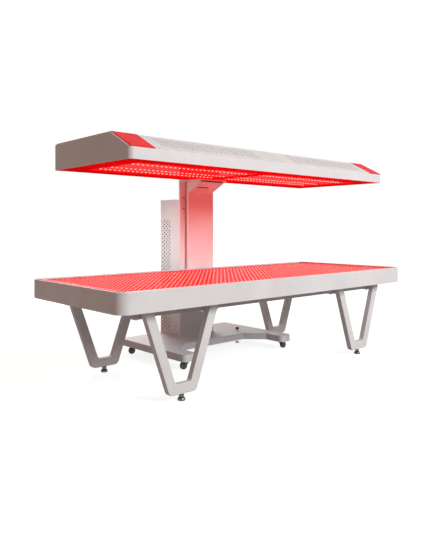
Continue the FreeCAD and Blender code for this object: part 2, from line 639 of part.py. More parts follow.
def column():
    column_depth = (POST_BACK, COLUMN_INNER)
    column_level = (SLAB_TOP, "column_top")
    for name, side in SIDES:
        panel = new_body(name + "_panel")
        edge = on_side(side, "mast_width/2 - panel_thick", "mast_width/2")[0]
        sketch = new_sketch(panel, "YZ_Plane", edge)
        rectangle(sketch, column_depth, column_level)
        extrude(panel, "Pad", sketch, "panel_thick")
        holes = new_sketch(panel, "YZ_Plane", edge)
        for i in range(5):
            y = f"{COLUMN_BACK} - hole_back - {i}*hole_pitch_y"
            hole(holes, y, f"hole_from + {i % 2}*hole_pitch_z/2", "hole_radius")
        first = pocket(panel, holes, "panel_thick", reverse=True)
        repeat(panel, [first], holes, "V_Axis", "hole_pitch_z", "hole_rows")
        node(panel, f"column_{name}_panel")
    span = around("stand_shift", "mast_width")
    back = box("back_sheet", span, (COLUMN_INNER, COLUMN_BACK), column_level)
    lid_depth = (POST_BACK, f"{COLUMN_BACK} + lid_lip")
    lid = box("lid", inside(span, "-lid_lip"), lid_depth, upward("column_top", "lid_thick"))
    through = inside((COLUMN_INNER, COLUMN_BACK), "-1")
    inlet_room = box("inlet_room", inside(around(INLET_X, "inlet_width"), "-slide_gap"), through,
                     inside(around("inlet_z", "inlet_height"), "-slide_gap"))
    wall = "-switch_room - housing_wall - slide_gap"
    switch_room = box("switch_room", inside(around(INLET_X, "switch_width"), wall), through,
                      inside(around("switch_z", "switch_height"), wall))
    openings = group("back_openings", [inlet_room, switch_room])
    node(cut("back_cover", fuse("back_and_lid", [back, lid]), openings), "column_back_cover")
    cases = []
    left = "stand_shift - mast_width/2 + electronics_inset"
    for low, high in (("controller_from", "controller_to"), ("supply_from", "supply_to")):
        cases.append(box("electronics_case", upward(left, "electronics_width"),
                         (f"{COLUMN_INNER} - electronics_depth", COLUMN_INNER), (low, high)))
    node(group("electronics", cases), "column_electronics")


def power_entry():
    """The mains inlet with its switch housing, and the rocker on its own pivot."""
    housing = "-switch_room - housing_wall"
    opening = "-switch_room"
    switch_x = around(INLET_X, "switch_width")
    switch_level = around("switch_z", "switch_height")
    past_face = f"{COLUMN_BACK} + face_thick + 1"
    face = box("entry_face", around(INLET_X, "inlet_width + 2*face_lip"), upward(COLUMN_BACK, "face_thick"),
               ("inlet_z - inlet_height/2 - face_lip", "switch_z + switch_height/2 + 2*face_lip"))
    well = box("inlet_well", around(INLET_X, "inlet_width"), (f"{COLUMN_BACK} - inlet_depth", COLUMN_BACK),
               around("inlet_z", "inlet_height"))
    shell = box("switch_shell", inside(switch_x, housing), (f"{COLUMN_BACK} - housing_depth", COLUMN_BACK),
                inside(switch_level, housing))
    mouth = box("inlet_mouth", around(INLET_X, "inlet_mouth_width"),
                (f"{COLUMN_BACK} - inlet_mouth_depth", past_face), around("inlet_z", "inlet_mouth_height"))
    room = box("rocker_room", inside(switch_x, opening), (f"{COLUMN_BACK} - housing_depth - 1", past_face),
               inside(switch_level, opening))
    pivot_half = "switch_width/2 + switch_room + pivot_reach"
    seat = doc.addObject("Part::Cylinder", "pivot_seat")
    bind(seat, Radius="pivot_radius + fine_gap", Height=f"2*({pivot_half} + slide_gap)",
         x=f"{INLET_X} - ({pivot_half} + slide_gap)", y=COLUMN_BACK, z="switch_z")
    turn(seat, (0, 1, 0), "90")
    openings = group("entry_openings", [mouth, room, seat])
    node(cut("entry", fuse("entry_solid", [face, well, shell]), openings), "power_inlet")
    rocker = new_body("rocker")
    sketch = new_sketch(rocker, "YZ_Plane")
    half = "switch_height/2"
    low, high = f"-{half}", half
    outline(sketch, [("-switch_depth", f"{low} + soft_edge"), ("switch_dip", low),
                     ("switch_stand", f"{low} + soft_edge/2"), ("switch_dip", "0"),
                     ("switch_stand", f"{high} - soft_edge/2"), ("switch_dip", high),
                     ("-switch_depth", f"{high} - soft_edge")])
    extrude(rocker, "Pad", sketch, "switch_width", symmetric=True)
    pivot = doc.addObject("Part::Cylinder", "pivot")
    bind(pivot, Radius="pivot_radius", Height=f"2*({pivot_half})", x=f"-({pivot_half})")
    turn(pivot, (0, 1, 0), "90")
    tilted = group("tilted_rocker", [fuse("rocker_on_pivot", [rocker, pivot])])
    bind(tilted, x=INLET_X, y=COLUMN_BACK, z="switch_z")
    node(turn(tilted, (1, 0, 0), "switch_tilt"), "power_switch")


def actuator():
    """The lift's fixed half: a geared motor on the slab and the outer tube above it."""
    motor_level = (SLAB_TOP, "tube_from")
    motor = box("motor", around("stand_shift", "motor_width"), around(ROD_Y, "motor_depth"), motor_level)
    outside = rod("actuator_outside", "tube_radius", ("tube_from", "tube_to"), "stand_shift", ROD_Y)
    bore_level = ("tube_from + tube_floor", "tube_to + 1")
    bore = rod("actuator_bore", "rod_radius + slide_gap", bore_level, "stand_shift", ROD_Y)
    node(cut("actuator", fuse("actuator_solid", [motor, outside]), bore), "lift_actuator_body")


# carriage: sliding block, actuator rod, front cover and bracket

def carriage():
    block_depth = (CARRIAGE_FACE, f"{POST_BACK} - block_back_gap")
    block = box("block", around("stand_shift", "2*block_half"), block_depth, ("block_from", "block_to"))
    lug = box("lug", around("stand_shift", "2*lug_half"), (MAST_MIDDLE, f"{ROD_Y} + rod_radius + lug_over"),
              upward("lug_from", "lug_thick"))
    spine_depth = (f"{COVER_FRONT} + cover_wall", CARRIAGE_FACE)
    spine_level = ("spine_from", PLATE_UNDER_CANOPY)
    spine = box("spine", around("stand_shift", "2*spine_half"), spine_depth, spine_level)
    node(fuse("carriage", [block, lug, spine]), "carriage_block")
    shoes = []
    for name, side in SIDES:
        for low in ("block_from + shoe_inset", "block_to - shoe_inset - shoe_height"):
            level = upward(low, "shoe_height")
            solid = box("shoe", on_side(side, "block_half", f"{GAP_HALF} - slide_gap"),
                        around(MAST_MIDDLE, "shoe_wide"), level)
            groove = box("groove", on_side(side, f"{GAP_HALF} - rail_thick - slide_gap", GAP_HALF),
                         around(MAST_MIDDLE, "rail_wide + 2*slide_gap"), inside(level, "-1"))
            shoes.append(cut("shoe_cut", solid, groove))
    node(group("shoes", shoes), "guide_shoes")
    node(rod("lift_rod", "rod_radius", ("rod_from", "lug_from"), "stand_shift", ROD_Y), "lift_actuator_rod")
    span = around("stand_shift", "cover_width")
    cover_depth = (COVER_FRONT, f"{MAST_FRONT} - cover_clear")
    outside = box("cover_outside", span, cover_depth, ("cover_from", "cover_to"))
    hollow = box("cover_hollow", inside(span, "cover_wall"), (f"{COVER_FRONT} + cover_wall", MAST_FRONT),
                 ("cover_from + cover_wall", "cover_to + 1"))
    node(cut("cover", outside, hollow), "carriage_cover")


def bracket():
    """The welded wedge between carriage and canopy, and the folded sheet that closes its front."""
    low = "cover_to + fit_gap"
    nose = f"({COVER_FRONT} - bracket_reach)"
    nose_low = f"({PLATE_UNDER_CANOPY} - bracket_nose)"
    front = f"({COVER_FRONT} + cover_wall)"
    back = f"{CARRIAGE_FACE} + bracket_plate"
    span = around("stand_shift", "2*bracket_half")
    pieces = [box("bracket_back", span, (CARRIAGE_FACE, back), (low, PLATE_UNDER_CANOPY))]
    for name, side in SIDES:
        web = new_body(name + "_gusset")
        edge = on_side(side, "bracket_half - gusset_thick", "bracket_half")[0]
        sketch = new_sketch(web, "YZ_Plane", edge)
        outline(sketch, [(CARRIAGE_FACE, low), (CARRIAGE_FACE, PLATE_UNDER_CANOPY),
                         (nose, PLATE_UNDER_CANOPY), (nose, nose_low), (front, "bracket_knee"), (front, low)])
        extrude(web, "Pad", sketch, "gusset_thick")
        pieces.append(web)
    top_span = around("stand_shift", "2*top_plate_half")
    top_depth = (f"{nose} - top_plate_lip", back)
    top_level = (PLATE_UNDER_CANOPY, "canopy_bottom")
    pieces.append(plate("bracket_top", top_span, top_depth, top_level, "top_plate_corner"))
    node(fuse("bracket", pieces), "canopy_bracket")
    sheet = new_body("bracket_sheet")
    sketch = new_sketch(sheet, "YZ_Plane", "stand_shift")
    run = f"({front} - {nose})"
    rise = f"({nose_low} - bracket_knee)"
    length = f"sqrt({run}^2 + {rise}^2)"
    bend = f"cover_wall*({length} - {rise})/{run}"
    outline(sketch, [(front, low), (front, "bracket_knee"), (nose, nose_low),
                     (f"{nose} - cover_wall*{rise}/{length}", f"{nose_low} - cover_wall*{run}/{length}"),
                     (COVER_FRONT, f"bracket_knee - {bend}"), (COVER_FRONT, low)])
    extrude(sheet, "Pad", sketch, "2*bracket_half", symmetric=True)
    slot_span = ("stand_shift + slot_left", "stand_shift + slot_right")
    slot = box("sheet_slot", slot_span, (nose, CARRIAGE_FACE), upward("slot_from", "slot_height"))
    node(cut("slotted_sheet", sheet, slot), "bracket_cover_sheet")


# canopy: shell, slope panel, red end bands, LED boards and what carries them

CANOPY_SPAN = around("stand_shift", "2*canopy_half")
CANOPY_DEPTH = (CANOPY_FRONT, CANOPY_BACK)
INNER_SPAN = inside(CANOPY_SPAN, "canopy_sheet")
INNER_DEPTH = inside(CANOPY_DEPTH, "canopy_sheet")


def on_slope(item, across="0", along="0", lift="0"):
    """Lay a flat piece on the canopy's slope: along it from its front edge, and above it."""
    y = f"{CANOPY_FRONT} + (({along})*slope_run - ({lift})*{SLOPE_RISE})/{SLOPE}"
    z = f"canopy_bottom + canopy_front_height + (({along})*{SLOPE_RISE} + ({lift})*slope_run)/{SLOPE}"
    bind(item, x=f"stand_shift + {across}", y=y, z=z)
    return turn(item, (1, 0, 0), SLOPE_ANGLE)


def canopy_profile(sketch, inset, low):
    """The five-sided end outline of the canopy, drawn in by inset, down to a height."""
    upper = f"tan({SLOPE_ANGLE}/2)"
    lower = f"(1 - {upper})/(1 + {upper})"
    front_top = "canopy_bottom + canopy_front_height"
    back = f"{CANOPY_BACK} - {inset}"
    front = f"{CANOPY_FRONT} + {inset}"
    outline(sketch, [(back, low), (back, f"{CANOPY_TOP} - {inset}"),
                     (f"{CANOPY_FRONT} + slope_run + {inset}*{upper}", f"{CANOPY_TOP} - {inset}"),
                     (front, f"{front_top} - {inset}*{lower}"), (front, low)])


def canopy_shell():
    body = new_body("shell")
    sketch = new_sketch(body, "YZ_Plane", "stand_shift")
    canopy_profile(sketch, "0", "canopy_bottom")
    extrude(body, "Pad", sketch, "2*canopy_half", symmetric=True)
    round_edges(body, "canopy_corner", at_corners(CANOPY_SPAN, (CANOPY_FRONT,)))
    low = number("canopy_bottom") + 1
    back = number(CANOPY_BACK) - 1

    def outer_edge(edge):
        size = edge.BoundBox
        corner_seam = size.XLength + size.YLength < 1e-4 and size.YMin < back
        return size.ZMax > low and not corner_seam
    round_edges(body, "shell_edge", outer_edge)
    hollow = new_body("shell_hollow")
    sketch = new_sketch(hollow, "YZ_Plane", "stand_shift")
    canopy_profile(sketch, "canopy_sheet", "canopy_bottom - 1")
    extrude(hollow, "Pad", sketch, "2*canopy_half - 2*canopy_sheet", symmetric=True)
    round_edges(hollow, "canopy_corner - canopy_sheet", at_corners(INNER_SPAN, (INNER_DEPTH[0],)))
    window = box("slope_window", around("0", "2*canopy_half - 2*band_width - 2*window_edge"),
                 ("window_edge", f"{SLOPE} - window_edge"), ("-3*canopy_sheet", "3*canopy_sheet"))
    hollowed = cut("hollow_shell", body, hollow)
    node(cut("windowed_shell", hollowed, on_slope(group("window_on_slope", [window]))), "canopy_shell")


def slope_pieces():
    panel = new_body("vent_panel")
    sketch = new_sketch(panel, "XY_Plane")
    half = "(canopy_half - band_width - band_inset - fit_gap)"
    rectangle(sketch, around("0", f"2*{half}"), ("slope_edge", f"{SLOPE} - slope_edge"))
    extrude(panel, "Pad", sketch, "band_thick")
    vents = new_sketch(panel, "XY_Plane")
    rows = 5
    for start in ("-vent_from - vent_pitch_x*(vent_columns - 1)", "vent_from"):
        for i in range(rows):
            hole(vents, start, f"{SLOPE}/2 + {i - (rows - 1) / 2}*vent_pitch_slope", "vent_radius")
    first = pocket(panel, vents, "band_thick", reverse=True)
    repeat(panel, [first], vents, "H_Axis", "vent_pitch_x", "vent_columns")
    node(on_slope(panel), "canopy_vent_panel")
    bands = []
    for name, side in SIDES:
        ends = on_side(side, "canopy_half - band_inset - band_width", "canopy_half - band_inset")
        flat = [f"{end} - stand_shift" for end in ends]
        sloped = plate(name + "_slope_band", flat, ("slope_edge", f"{SLOPE} - fit_gap"), ("0", "band_thick"))
        level = box(name + "_top_band", ends, (f"{CANOPY_FRONT} + slope_run", f"{CANOPY_BACK} - slope_edge"),
                    upward(CANOPY_TOP, "band_thick"))
        bands.append(fuse(name + "_band", [on_slope(sloped), level]))
    node(group("bands", bands), "canopy_bands")


def canopy_underside():
    front_corners = at_corners(INNER_SPAN, (INNER_DEPTH[0],))
    corner = "canopy_corner - canopy_sheet + corner_ease"
    ledge = "frame_ledge - fit_gap"
    lower = ring("frame_lower", INNER_SPAN, INNER_DEPTH, ("canopy_bottom", LENS_BOTTOM), "frame_width")
    round_edges(lower, corner, front_corners)
    upper = ring("frame_upper", INNER_SPAN, INNER_DEPTH, (LENS_BOTTOM, CANOPY_BOARD), ledge)
    round_edges(upper, corner, front_corners)
    between = inside(INNER_DEPTH, "frame_width")
    divider = box("divider", around("stand_shift", "divider_width"), between, ("canopy_bottom", LENS_BOTTOM))
    web_depth = inside(INNER_DEPTH, ledge)
    web = box("divider_web", around("stand_shift", "web_width"), web_depth, (LENS_BOTTOM, BOARD_TOP))
    node(fuse("bottom_frame", [lower, upper, divider, web]), "canopy_bottom_frame")
    lenses = []
    boards = []
    near = "web_width/2 + fit_gap"
    far = "canopy_half - canopy_sheet"
    for name, side in SIDES:
        lens_span = on_side(side, near, f"{far} - frame_ledge")
        lens_level = upward(LENS_BOTTOM, "lens_thick")
        lenses.append(box("lens", lens_span, inside(INNER_DEPTH, "frame_ledge"), lens_level))
        board_span = on_side(side, near, f"{far} - 2*corner_ease")
        board_depth = inside(INNER_DEPTH, "2*corner_ease")
        boards.append(box("led_board", board_span, board_depth, (CANOPY_BOARD, BOARD_TOP)))
    node(group("lenses", lenses), "canopy_lenses")
    node(group("led_boards", boards), "canopy_led_boards")


def fan_frame():
    """A square fan frame with its throat, struts and the pin that the rotor turns on."""
    size = around("0", "fan_size")
    frame = plate("fan_square", size, size, ("0", "fan_thick"), "fan_corner")
    throat = new_sketch(frame, "XY_Plane")
    hole(throat, "0", "0", "fan_bore")
    pocket(frame, throat, "fan_thick", reverse=True)
    strut = around("0", "fan_strut")
    reach = around("0", "fan_size - 2*fan_corner")
    level = ("0", "fan_strut_thick")
    pin = rod("fan_pin", "fan_pin", ("0", "fan_thick - hub_lift"), "0", "0")
    struts = [box("strut", strut, reach, level), box("strut", reach, strut, level)]
    return fuse("fan_frame", [frame, pin] + struts)


def fan_rotor(name):
    rotor = new_body(name)
    hub = new_sketch(rotor, "XY_Plane", "hub_lift")
    hole(hub, "0", "0", "fan_hub")
    hole(hub, "0", "0", "fan_pin + fine_gap")
    extrude(rotor, "Pad", hub, "fan_thick - 2*hub_lift")
    sketch = new_sketch(rotor, "XY_Plane", "2*hub_lift")
    half = "blade_thick/2"
    outline(sketch, [("fan_hub - blade_thick", f"-{half}"), ("fan_blade", f"blade_sweep - {half}"),
                     ("fan_blade", f"blade_sweep + {half}"), ("fan_hub - blade_thick", half)])
    blade = extrude(rotor, "Pad", sketch, "fan_thick - 4*hub_lift")
    wheel = rotor.newObject("PartDesign::PolarPattern", name + "_blades")
    wheel.Originals = [blade]
    wheel.Axis = (sketch, ["N_Axis"])
    wheel.Angle = 360
    wheel.Occurrences = 7
    rotor.Tip = wheel
    doc.recompute()
    return rotor


def canopy_inside():
    arm_top = f"({BOARD_TOP} + arm_height)"
    arm_span = around("stand_shift", "2*arm_half")
    arm_depth = (f"{CANOPY_FRONT} + arm_setback", INNER_DEPTH[1])
    node(tube("arm", arm_span, arm_depth, (BOARD_TOP, arm_top), "arm_wall", "y"), "support_arm")
    beam_depth = around(f"{CANOPY_BACK} - beam_back", "beam_depth")
    beam_level = (arm_top, f"{CANOPY_TOP} - canopy_sheet")
    beam_span = around("stand_shift", "2*beam_half")
    node(tube("beam", beam_span, beam_depth, beam_level, "arm_wall", "x"), "canopy_beam")
    drivers = []
    frames = []
    for name, side in SIDES:
        x = around(f"stand_shift + {side}*canopy_driver_x", "canopy_driver_length")
        y = around(f"{CANOPY_BACK} - canopy_driver_back", "canopy_driver_width")
        drivers.append(box("canopy_driver", x, y, upward(BOARD_TOP, "canopy_driver_height")))
        place = (f"{side}*fan_x", f"{SLOPE}/2", "-fan_thick")
        frames.append(on_slope(group(name + "_fan", [fan_frame()]), *place))
        node(on_slope(fan_rotor(name + "_rotor"), *place), f"canopy_fan_rotor_{name}")
    node(group("canopy_drivers", drivers), "canopy_power_supplies")
    node(group("fan_frames", frames), "canopy_fan_frames")


bed_apron()
bed_layers()
bed_frame()
for end_name, end_sign in ENDS:
    for side_name, side_sign in SIDES:
        leg(f"leg_{end_name}_{side_name}", side_sign, end_sign)
        foot(f"foot_{end_name}_{side_name}", side_sign, end_sign)
stand_base()
for end_name, end_sign in ENDS:
    for side_name, side_sign in SIDES:
        castor(f"{end_name}_{side_name}", side_sign, f"castor_{end_name}")
stabiliser()
mast()
column()
power_entry()
actuator()
carriage()
bracket()
canopy_shell()
slope_pieces()
canopy_underside()
canopy_inside()
doc.recompute()

for item in doc.Objects:
    if "Invalid" in item.State or "Error" in item.State:
        raise RuntimeError(f"{item.Label} failed: {item.State}")
for item in nodes:
    if item.Shape.isNull() or not item.Shape.isValid() or not item.Shape.Solids:
        raise RuntimeError(f"{item.Label} has no valid solid")

os.makedirs("parts", exist_ok=True)
for item in nodes:
    item.Shape.exportStep(f"parts/{item.Label}.step")
print(len(nodes), "sub-parts written")
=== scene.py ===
import json
import math

import bmesh
import bpy
from mathutils import Matrix, Vector


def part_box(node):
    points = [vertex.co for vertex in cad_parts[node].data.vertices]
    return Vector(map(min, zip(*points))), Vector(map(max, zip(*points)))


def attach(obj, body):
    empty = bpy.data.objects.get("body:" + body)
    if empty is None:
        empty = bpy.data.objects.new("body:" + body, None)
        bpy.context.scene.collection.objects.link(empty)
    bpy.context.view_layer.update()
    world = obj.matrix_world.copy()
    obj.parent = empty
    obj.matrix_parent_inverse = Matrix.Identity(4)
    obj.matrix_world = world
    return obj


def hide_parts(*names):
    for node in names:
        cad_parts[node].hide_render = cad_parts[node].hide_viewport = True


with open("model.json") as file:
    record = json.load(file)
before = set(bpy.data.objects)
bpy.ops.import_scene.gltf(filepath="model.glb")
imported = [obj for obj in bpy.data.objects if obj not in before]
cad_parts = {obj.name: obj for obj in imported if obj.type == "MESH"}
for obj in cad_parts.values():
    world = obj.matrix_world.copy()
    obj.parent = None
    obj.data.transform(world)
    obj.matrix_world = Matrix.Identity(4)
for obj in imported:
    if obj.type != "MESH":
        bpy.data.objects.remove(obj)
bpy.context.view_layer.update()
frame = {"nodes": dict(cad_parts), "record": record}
cadNodes = frame["nodes"]
scene = bpy.context.scene
print("frame loaded:", len(cadNodes), "nodes")


# materials: every finish is nodes on Object coordinates

noiseLook = {"usual": (0.3, 0.7), "plain": 2.0, "rich": 3.0}  # what a noise mostly gives, and its detail
mottle = {"dark": 0.35, "light": 0.65}  # where patches turn from the dark to the light shade
evenScale = (1, 1, 1)


def startMaterial(name):
    material = bpy.data.materials.new(name)
    material.use_nodes = True
    tree = material.node_tree
    where = tree.nodes.new("ShaderNodeTexCoord").outputs["Object"]
    return material, tree, tree.nodes["Principled BSDF"], where


def addNoise(tree, where, scale, detail=noiseLook["plain"], stretch=evenScale):
    mapping = tree.nodes.new("ShaderNodeMapping")
    mapping.inputs["Scale"].default_value = stretch
    tree.links.new(where, mapping.inputs["Vector"])
    texture = tree.nodes.new("ShaderNodeTexNoise")
    texture.inputs["Scale"].default_value = scale
    texture.inputs["Detail"].default_value = detail
    tree.links.new(mapping.outputs["Vector"], texture.inputs["Vector"])
    return texture.outputs["Fac"]


def spread(tree, value, low, high, source=noiseLook["usual"]):
    node = tree.nodes.new("ShaderNodeMapRange")
    node.inputs["From Min"].default_value = source[0]
    node.inputs["From Max"].default_value = source[1]
    node.inputs["To Min"].default_value = low
    node.inputs["To Max"].default_value = high
    tree.links.new(value, node.inputs["Value"])
    return node.outputs["Result"]


def shades(tree, value, stops):
    node = tree.nodes.new("ShaderNodeValToRGB")
    ramp = node.color_ramp
    for element, (place, colour) in zip(ramp.elements, stops):
        element.position = place
        element.color = (*colour, 1)
    tree.links.new(value, node.inputs["Fac"])
    return node.outputs["Color"]


def splitAxes(tree, vector):
    parts = tree.nodes.new("ShaderNodeSeparateXYZ")
    tree.links.new(vector, parts.inputs["Vector"])
    return parts.outputs


def vectorLength(tree, vector):
    node = tree.nodes.new("ShaderNodeVectorMath")
    node.operation = "LENGTH"
    tree.links.new(vector, node.inputs[0])
    return node.outputs["Value"]


def addMottle(tree, shader, where, look, light):
    patches = addNoise(tree, where, look["patch"], noiseLook["rich"], look.get("stretch", evenScale))
    colour = shades(tree, patches, [(mottle["dark"], look["dark"]), (mottle["light"], light)])
    tree.links.new(colour, shader.inputs["Base Color"])


def addGrain(tree, shader, where, look, detail):
    grain = addNoise(tree, where, look["grain"], detail, look.get("stretch", evenScale))
    tree.links.new(spread(tree, grain, *look["rough"]), shader.inputs["Roughness"])
    bump = tree.nodes.new("ShaderNodeBump")
    bump.inputs["Strength"].default_value = look["bump"]
    bump.inputs["Distance"].default_value = look["depth"]
    tree.links.new(grain, bump.inputs["Height"])
    tree.links.new(bump.outputs["Normal"], shader.inputs["Normal"])


def surface(name, look):
    material, tree, shader, where = startMaterial(name)
    addMottle(tree, shader, where, look, look["light"])
    addGrain(tree, shader, where, look, noiseLook["rich"])
    shader.inputs["Metallic"].default_value = look.get("metal", 0.0)
    shader.inputs["Coat Weight"].default_value = look.get("coat", 0.0)
    shader.inputs["Specular IOR Level"].default_value = look.get("specular", 0.5)
    return material


finishLooks = {
    "powderCoat": {"dark": (0.71, 0.70, 0.705), "light": (0.77, 0.76, 0.765), "patch": 5, "grain": 900,
                   "rough": (0.42, 0.55), "bump": 0.12, "depth": 0.0004, "specular": 0.25},
    "redTrim": {"dark": (0.82, 0.016, 0.020), "light": (0.92, 0.026, 0.028), "patch": 7, "grain": 700,
                "rough": (0.42, 0.55), "bump": 0.10, "depth": 0.0003, "specular": 0.05},
    "recessRed": {"dark": (0.90, 0.012, 0.018), "light": (0.97, 0.018, 0.024), "patch": 7, "grain": 700,
                  "rough": (0.45, 0.58), "bump": 0.10, "depth": 0.0003, "specular": 0.0},
    "millAluminium": {"dark": (0.60, 0.60, 0.62), "light": (0.72, 0.72, 0.74), "patch": 30, "grain": 160,
                      "rough": (0.32, 0.46), "bump": 0.08, "depth": 0.0002, "metal": 1.0,
                      "stretch": (0.05, 1, 1)},
    "frameSteel": {"dark": (0.50, 0.46, 0.47), "light": (0.57, 0.53, 0.54), "patch": 9, "grain": 800,
                   "rough": (0.45, 0.60), "bump": 0.15, "depth": 0.0004},
    "deviceCase": {"dark": (0.24, 0.24, 0.26), "light": (0.30, 0.30, 0.32), "patch": 14, "grain": 1200,
                   "rough": (0.50, 0.62), "bump": 0.15, "depth": 0.0003},
    "brightZinc": {"dark": (0.58, 0.58, 0.60), "light": (0.72, 0.71, 0.68), "patch": 60, "grain": 500,
                   "rough": (0.22, 0.36), "bump": 0.06, "depth": 0.0002, "metal": 1.0},
    "darkNickel": {"dark": (0.10, 0.095, 0.10), "light": (0.17, 0.16, 0.165), "patch": 60, "grain": 600,
                   "rough": (0.16, 0.28), "bump": 0.05, "depth": 0.0002, "metal": 1.0},
    "castorBlack": {"dark": (0.030, 0.028, 0.028), "light": (0.055, 0.05, 0.05), "patch": 40, "grain": 900,
                    "rough": (0.28, 0.42), "bump": 0.08, "depth": 0.0002, "coat": 0.2},
    "tyreRubber": {"dark": (0.022, 0.021, 0.021), "light": (0.04, 0.038, 0.038), "patch": 50, "grain": 1500,
                   "rough": (0.45, 0.62), "bump": 0.2, "depth": 0.0003},
    "hubGrey": {"dark": (0.26, 0.25, 0.27), "light": (0.36, 0.35, 0.37), "patch": 50, "grain": 900,
                "rough": (0.30, 0.42), "bump": 0.08, "depth": 0.0002},
    "mouldedBlack": {"dark": (0.028, 0.028, 0.03), "light": (0.05, 0.05, 0.055), "patch": 30, "grain": 1400,
                     "rough": (0.40, 0.55), "bump": 0.2, "depth": 0.0003},
}
finishes = {name: surface(name, look) for name, look in finishLooks.items()}


def clearSheet(name, look):
    material, tree, shader, where = startMaterial(name)
    shader.inputs["Base Color"].default_value = (*look["tint"], 1)
    shader.inputs["Transmission Weight"].default_value = 1.0
    shader.inputs["IOR"].default_value = look["ior"]
    shader.inputs["Alpha"].default_value = look["cover"]
    smears = addNoise(tree, where, look["smear"], look["detail"])
    tree.links.new(spread(tree, smears, *look["rough"]), shader.inputs["Roughness"])
    return material


sheetLook = {"tint": (1.0, 0.96, 0.96), "ior": 1.49, "cover": 0.05, "smear": 9, "detail": 4.0,
             "rough": (0.02, 0.08)}
finishes["acrylicSheet"] = clearSheet("acrylicSheet", sheetLook)
finishes["lampLens"] = clearSheet("lampLens", {**sheetLook, "cover": 0.03})
print("finishes made")


# LEDs: where they sit, the lit boards with a painted glow round each bed LED, and the lenses' colour

bedField = {"columns": 72, "rows": 24, "seam": 0.003, "thick": 0.002}
boardLow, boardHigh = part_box("bed_led_boards")
boardEdge = boardLow - Vector((bedField["seam"], bedField["seam"], 0)) / 2
bedPitch = Vector(((boardHigh.x - boardLow.x + bedField["seam"]) / bedField["columns"],
                   (boardHigh.y - boardLow.y + bedField["seam"]) / bedField["rows"], 0))
bedStart = boardEdge + bedPitch / 2 + Vector((0, 0, bedField["thick"]))

canopyField = {"columns": 30, "pitch": 0.027, "rows": (-0.195, -0.09, 0.09, 0.195), "fromDivider": 0.03}
lampLow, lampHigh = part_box("canopy_led_boards")
canopyMiddle = (lampLow + lampHigh) / 2
canopyReach = canopyField["fromDivider"] + (canopyField["columns"] - 1) * canopyField["pitch"]
canopyStarts = [Vector((canopyMiddle.x - canopyReach, canopyMiddle.y + row, lampLow.z))
                for row in canopyField["rows"]]


def wrapped(tree, value, centre, pitch):
    node = tree.nodes.new("ShaderNodeMath")
    node.operation = "WRAP"
    node.inputs[1].default_value = centre + pitch / 2
    node.inputs[2].default_value = centre - pitch / 2
    tree.links.new(value, node.inputs[0])
    shift = tree.nodes.new("ShaderNodeMath")
    shift.operation = "SUBTRACT"
    shift.inputs[1].default_value = centre
    tree.links.new(node.outputs["Value"], shift.inputs[0])
    return shift.outputs["Value"]


# painted glow: the board's emission turns pale in a ring round each LED, standing in for the LED's light
# falling on the board
def paintedHaloColour(tree, where, start, pitch, look):
    axes = splitAxes(tree, where)
    offset = tree.nodes.new("ShaderNodeCombineXYZ")
    tree.links.new(wrapped(tree, axes["X"], start.x, pitch.x), offset.inputs["X"])
    tree.links.new(wrapped(tree, axes["Y"], start.y, pitch.y), offset.inputs["Y"])
    halo = spread(tree, vectorLength(tree, offset.outputs["Vector"]), 1.0, 0.0, look["halo"])
    return shades(tree, halo, [(0.0, look["red"]), (1.0, look["pale"])])


def litSide(tree, facing, look):
    normal = tree.nodes.new("ShaderNodeNewGeometry").outputs["True Normal"]
    edge = facing * look["sideEdge"]
    return spread(tree, splitAxes(tree, normal)["Z"], 0.0, look["glow"], (-edge, edge))


def litBoard(name, facing, look, ledGrid=None):
    material, tree, shader, where = startMaterial(name)
    shader.inputs["Emission Color"].default_value = (*look["red"], 1)
    if ledGrid:
        tree.links.new(paintedHaloColour(tree, where, *ledGrid, look), shader.inputs["Emission Color"])
    tree.links.new(litSide(tree, facing, look), shader.inputs["Emission Strength"])
    addMottle(tree, shader, where, look, look["red"])
    addGrain(tree, shader, where, look, noiseLook["plain"])
    shader.inputs["Specular IOR Level"].default_value = look["specular"]
    return material


# pale and halo: colour and reach of the painted glow round each bed LED
boardLook = {"red": (0.90, 0.010, 0.012), "pale": (1.0, 0.06, 0.045), "dark": (0.55, 0.008, 0.010),
             "glow": 0.95, "sideEdge": 0.1, "halo": (0.006, 0.011), "patch": 12, "grain": 600,
             "rough": (0.45, 0.6), "bump": 0.1, "depth": 0.0003, "specular": 0.0}
finishes["bedBoard"] = litBoard("bedBoard", 1, boardLook, (bedStart, bedPitch))
finishes["canopyBoard"] = litBoard("canopyBoard", -1, boardLook)

domeLook = {"radius": 0.0064, "height": 0.0052, "around": 8, "rings": 6, "collar": 0.0075,
            "collarHeight": 0.0008, "collarTaper": 0.85, "sharp": 50}
canopyDome = {**domeLook, "radius": 0.0066, "height": 0.0046, "collar": 0.0076}


def ledLens(name, base, facing, dome, look):
    material, tree, shader, where = startMaterial(name)
    tip = base + facing * dome["height"]
    rise = spread(tree, splitAxes(tree, where)["Z"], 0.0, 1.0, (base, tip))
    colour = shades(tree, rise, [(look["capFrom"], look["skirt"]), (look["capFull"], look["cap"])])
    tree.links.new(colour, shader.inputs["Emission Color"])
    tree.links.new(colour, shader.inputs["Base Color"])
    shader.inputs["Emission Strength"].default_value = look["glow"]
    shader.inputs["Specular IOR Level"].default_value = look["specular"]
    specks = addNoise(tree, where, look["speck"])
    tree.links.new(spread(tree, specks, *look["rough"]), shader.inputs["Roughness"])
    material.cycles.emission_sampling = "NONE"
    return material


ledLook = {"skirt": (0.90, 0.012, 0.014), "cap": (1.0, 0.62, 0.55), "capFrom": 0.72, "capFull": 0.84,
           "glow": 0.75, "speck": 300, "rough": (0.3, 0.45), "specular": 0.0}
canopyLedLook = {**ledLook, "cap": (1.0, 0.75, 0.60), "capFrom": 0.1, "capFull": 0.4}
finishes["bedLed"] = ledLens("bedLed", bedStart.z, 1, domeLook, ledLook)
finishes["canopyLed"] = ledLens("canopyLed", lampLow.z, -1, canopyDome, canopyLedLook)


# what the pieces share

weldDistance = 1e-6
hexSides = 6


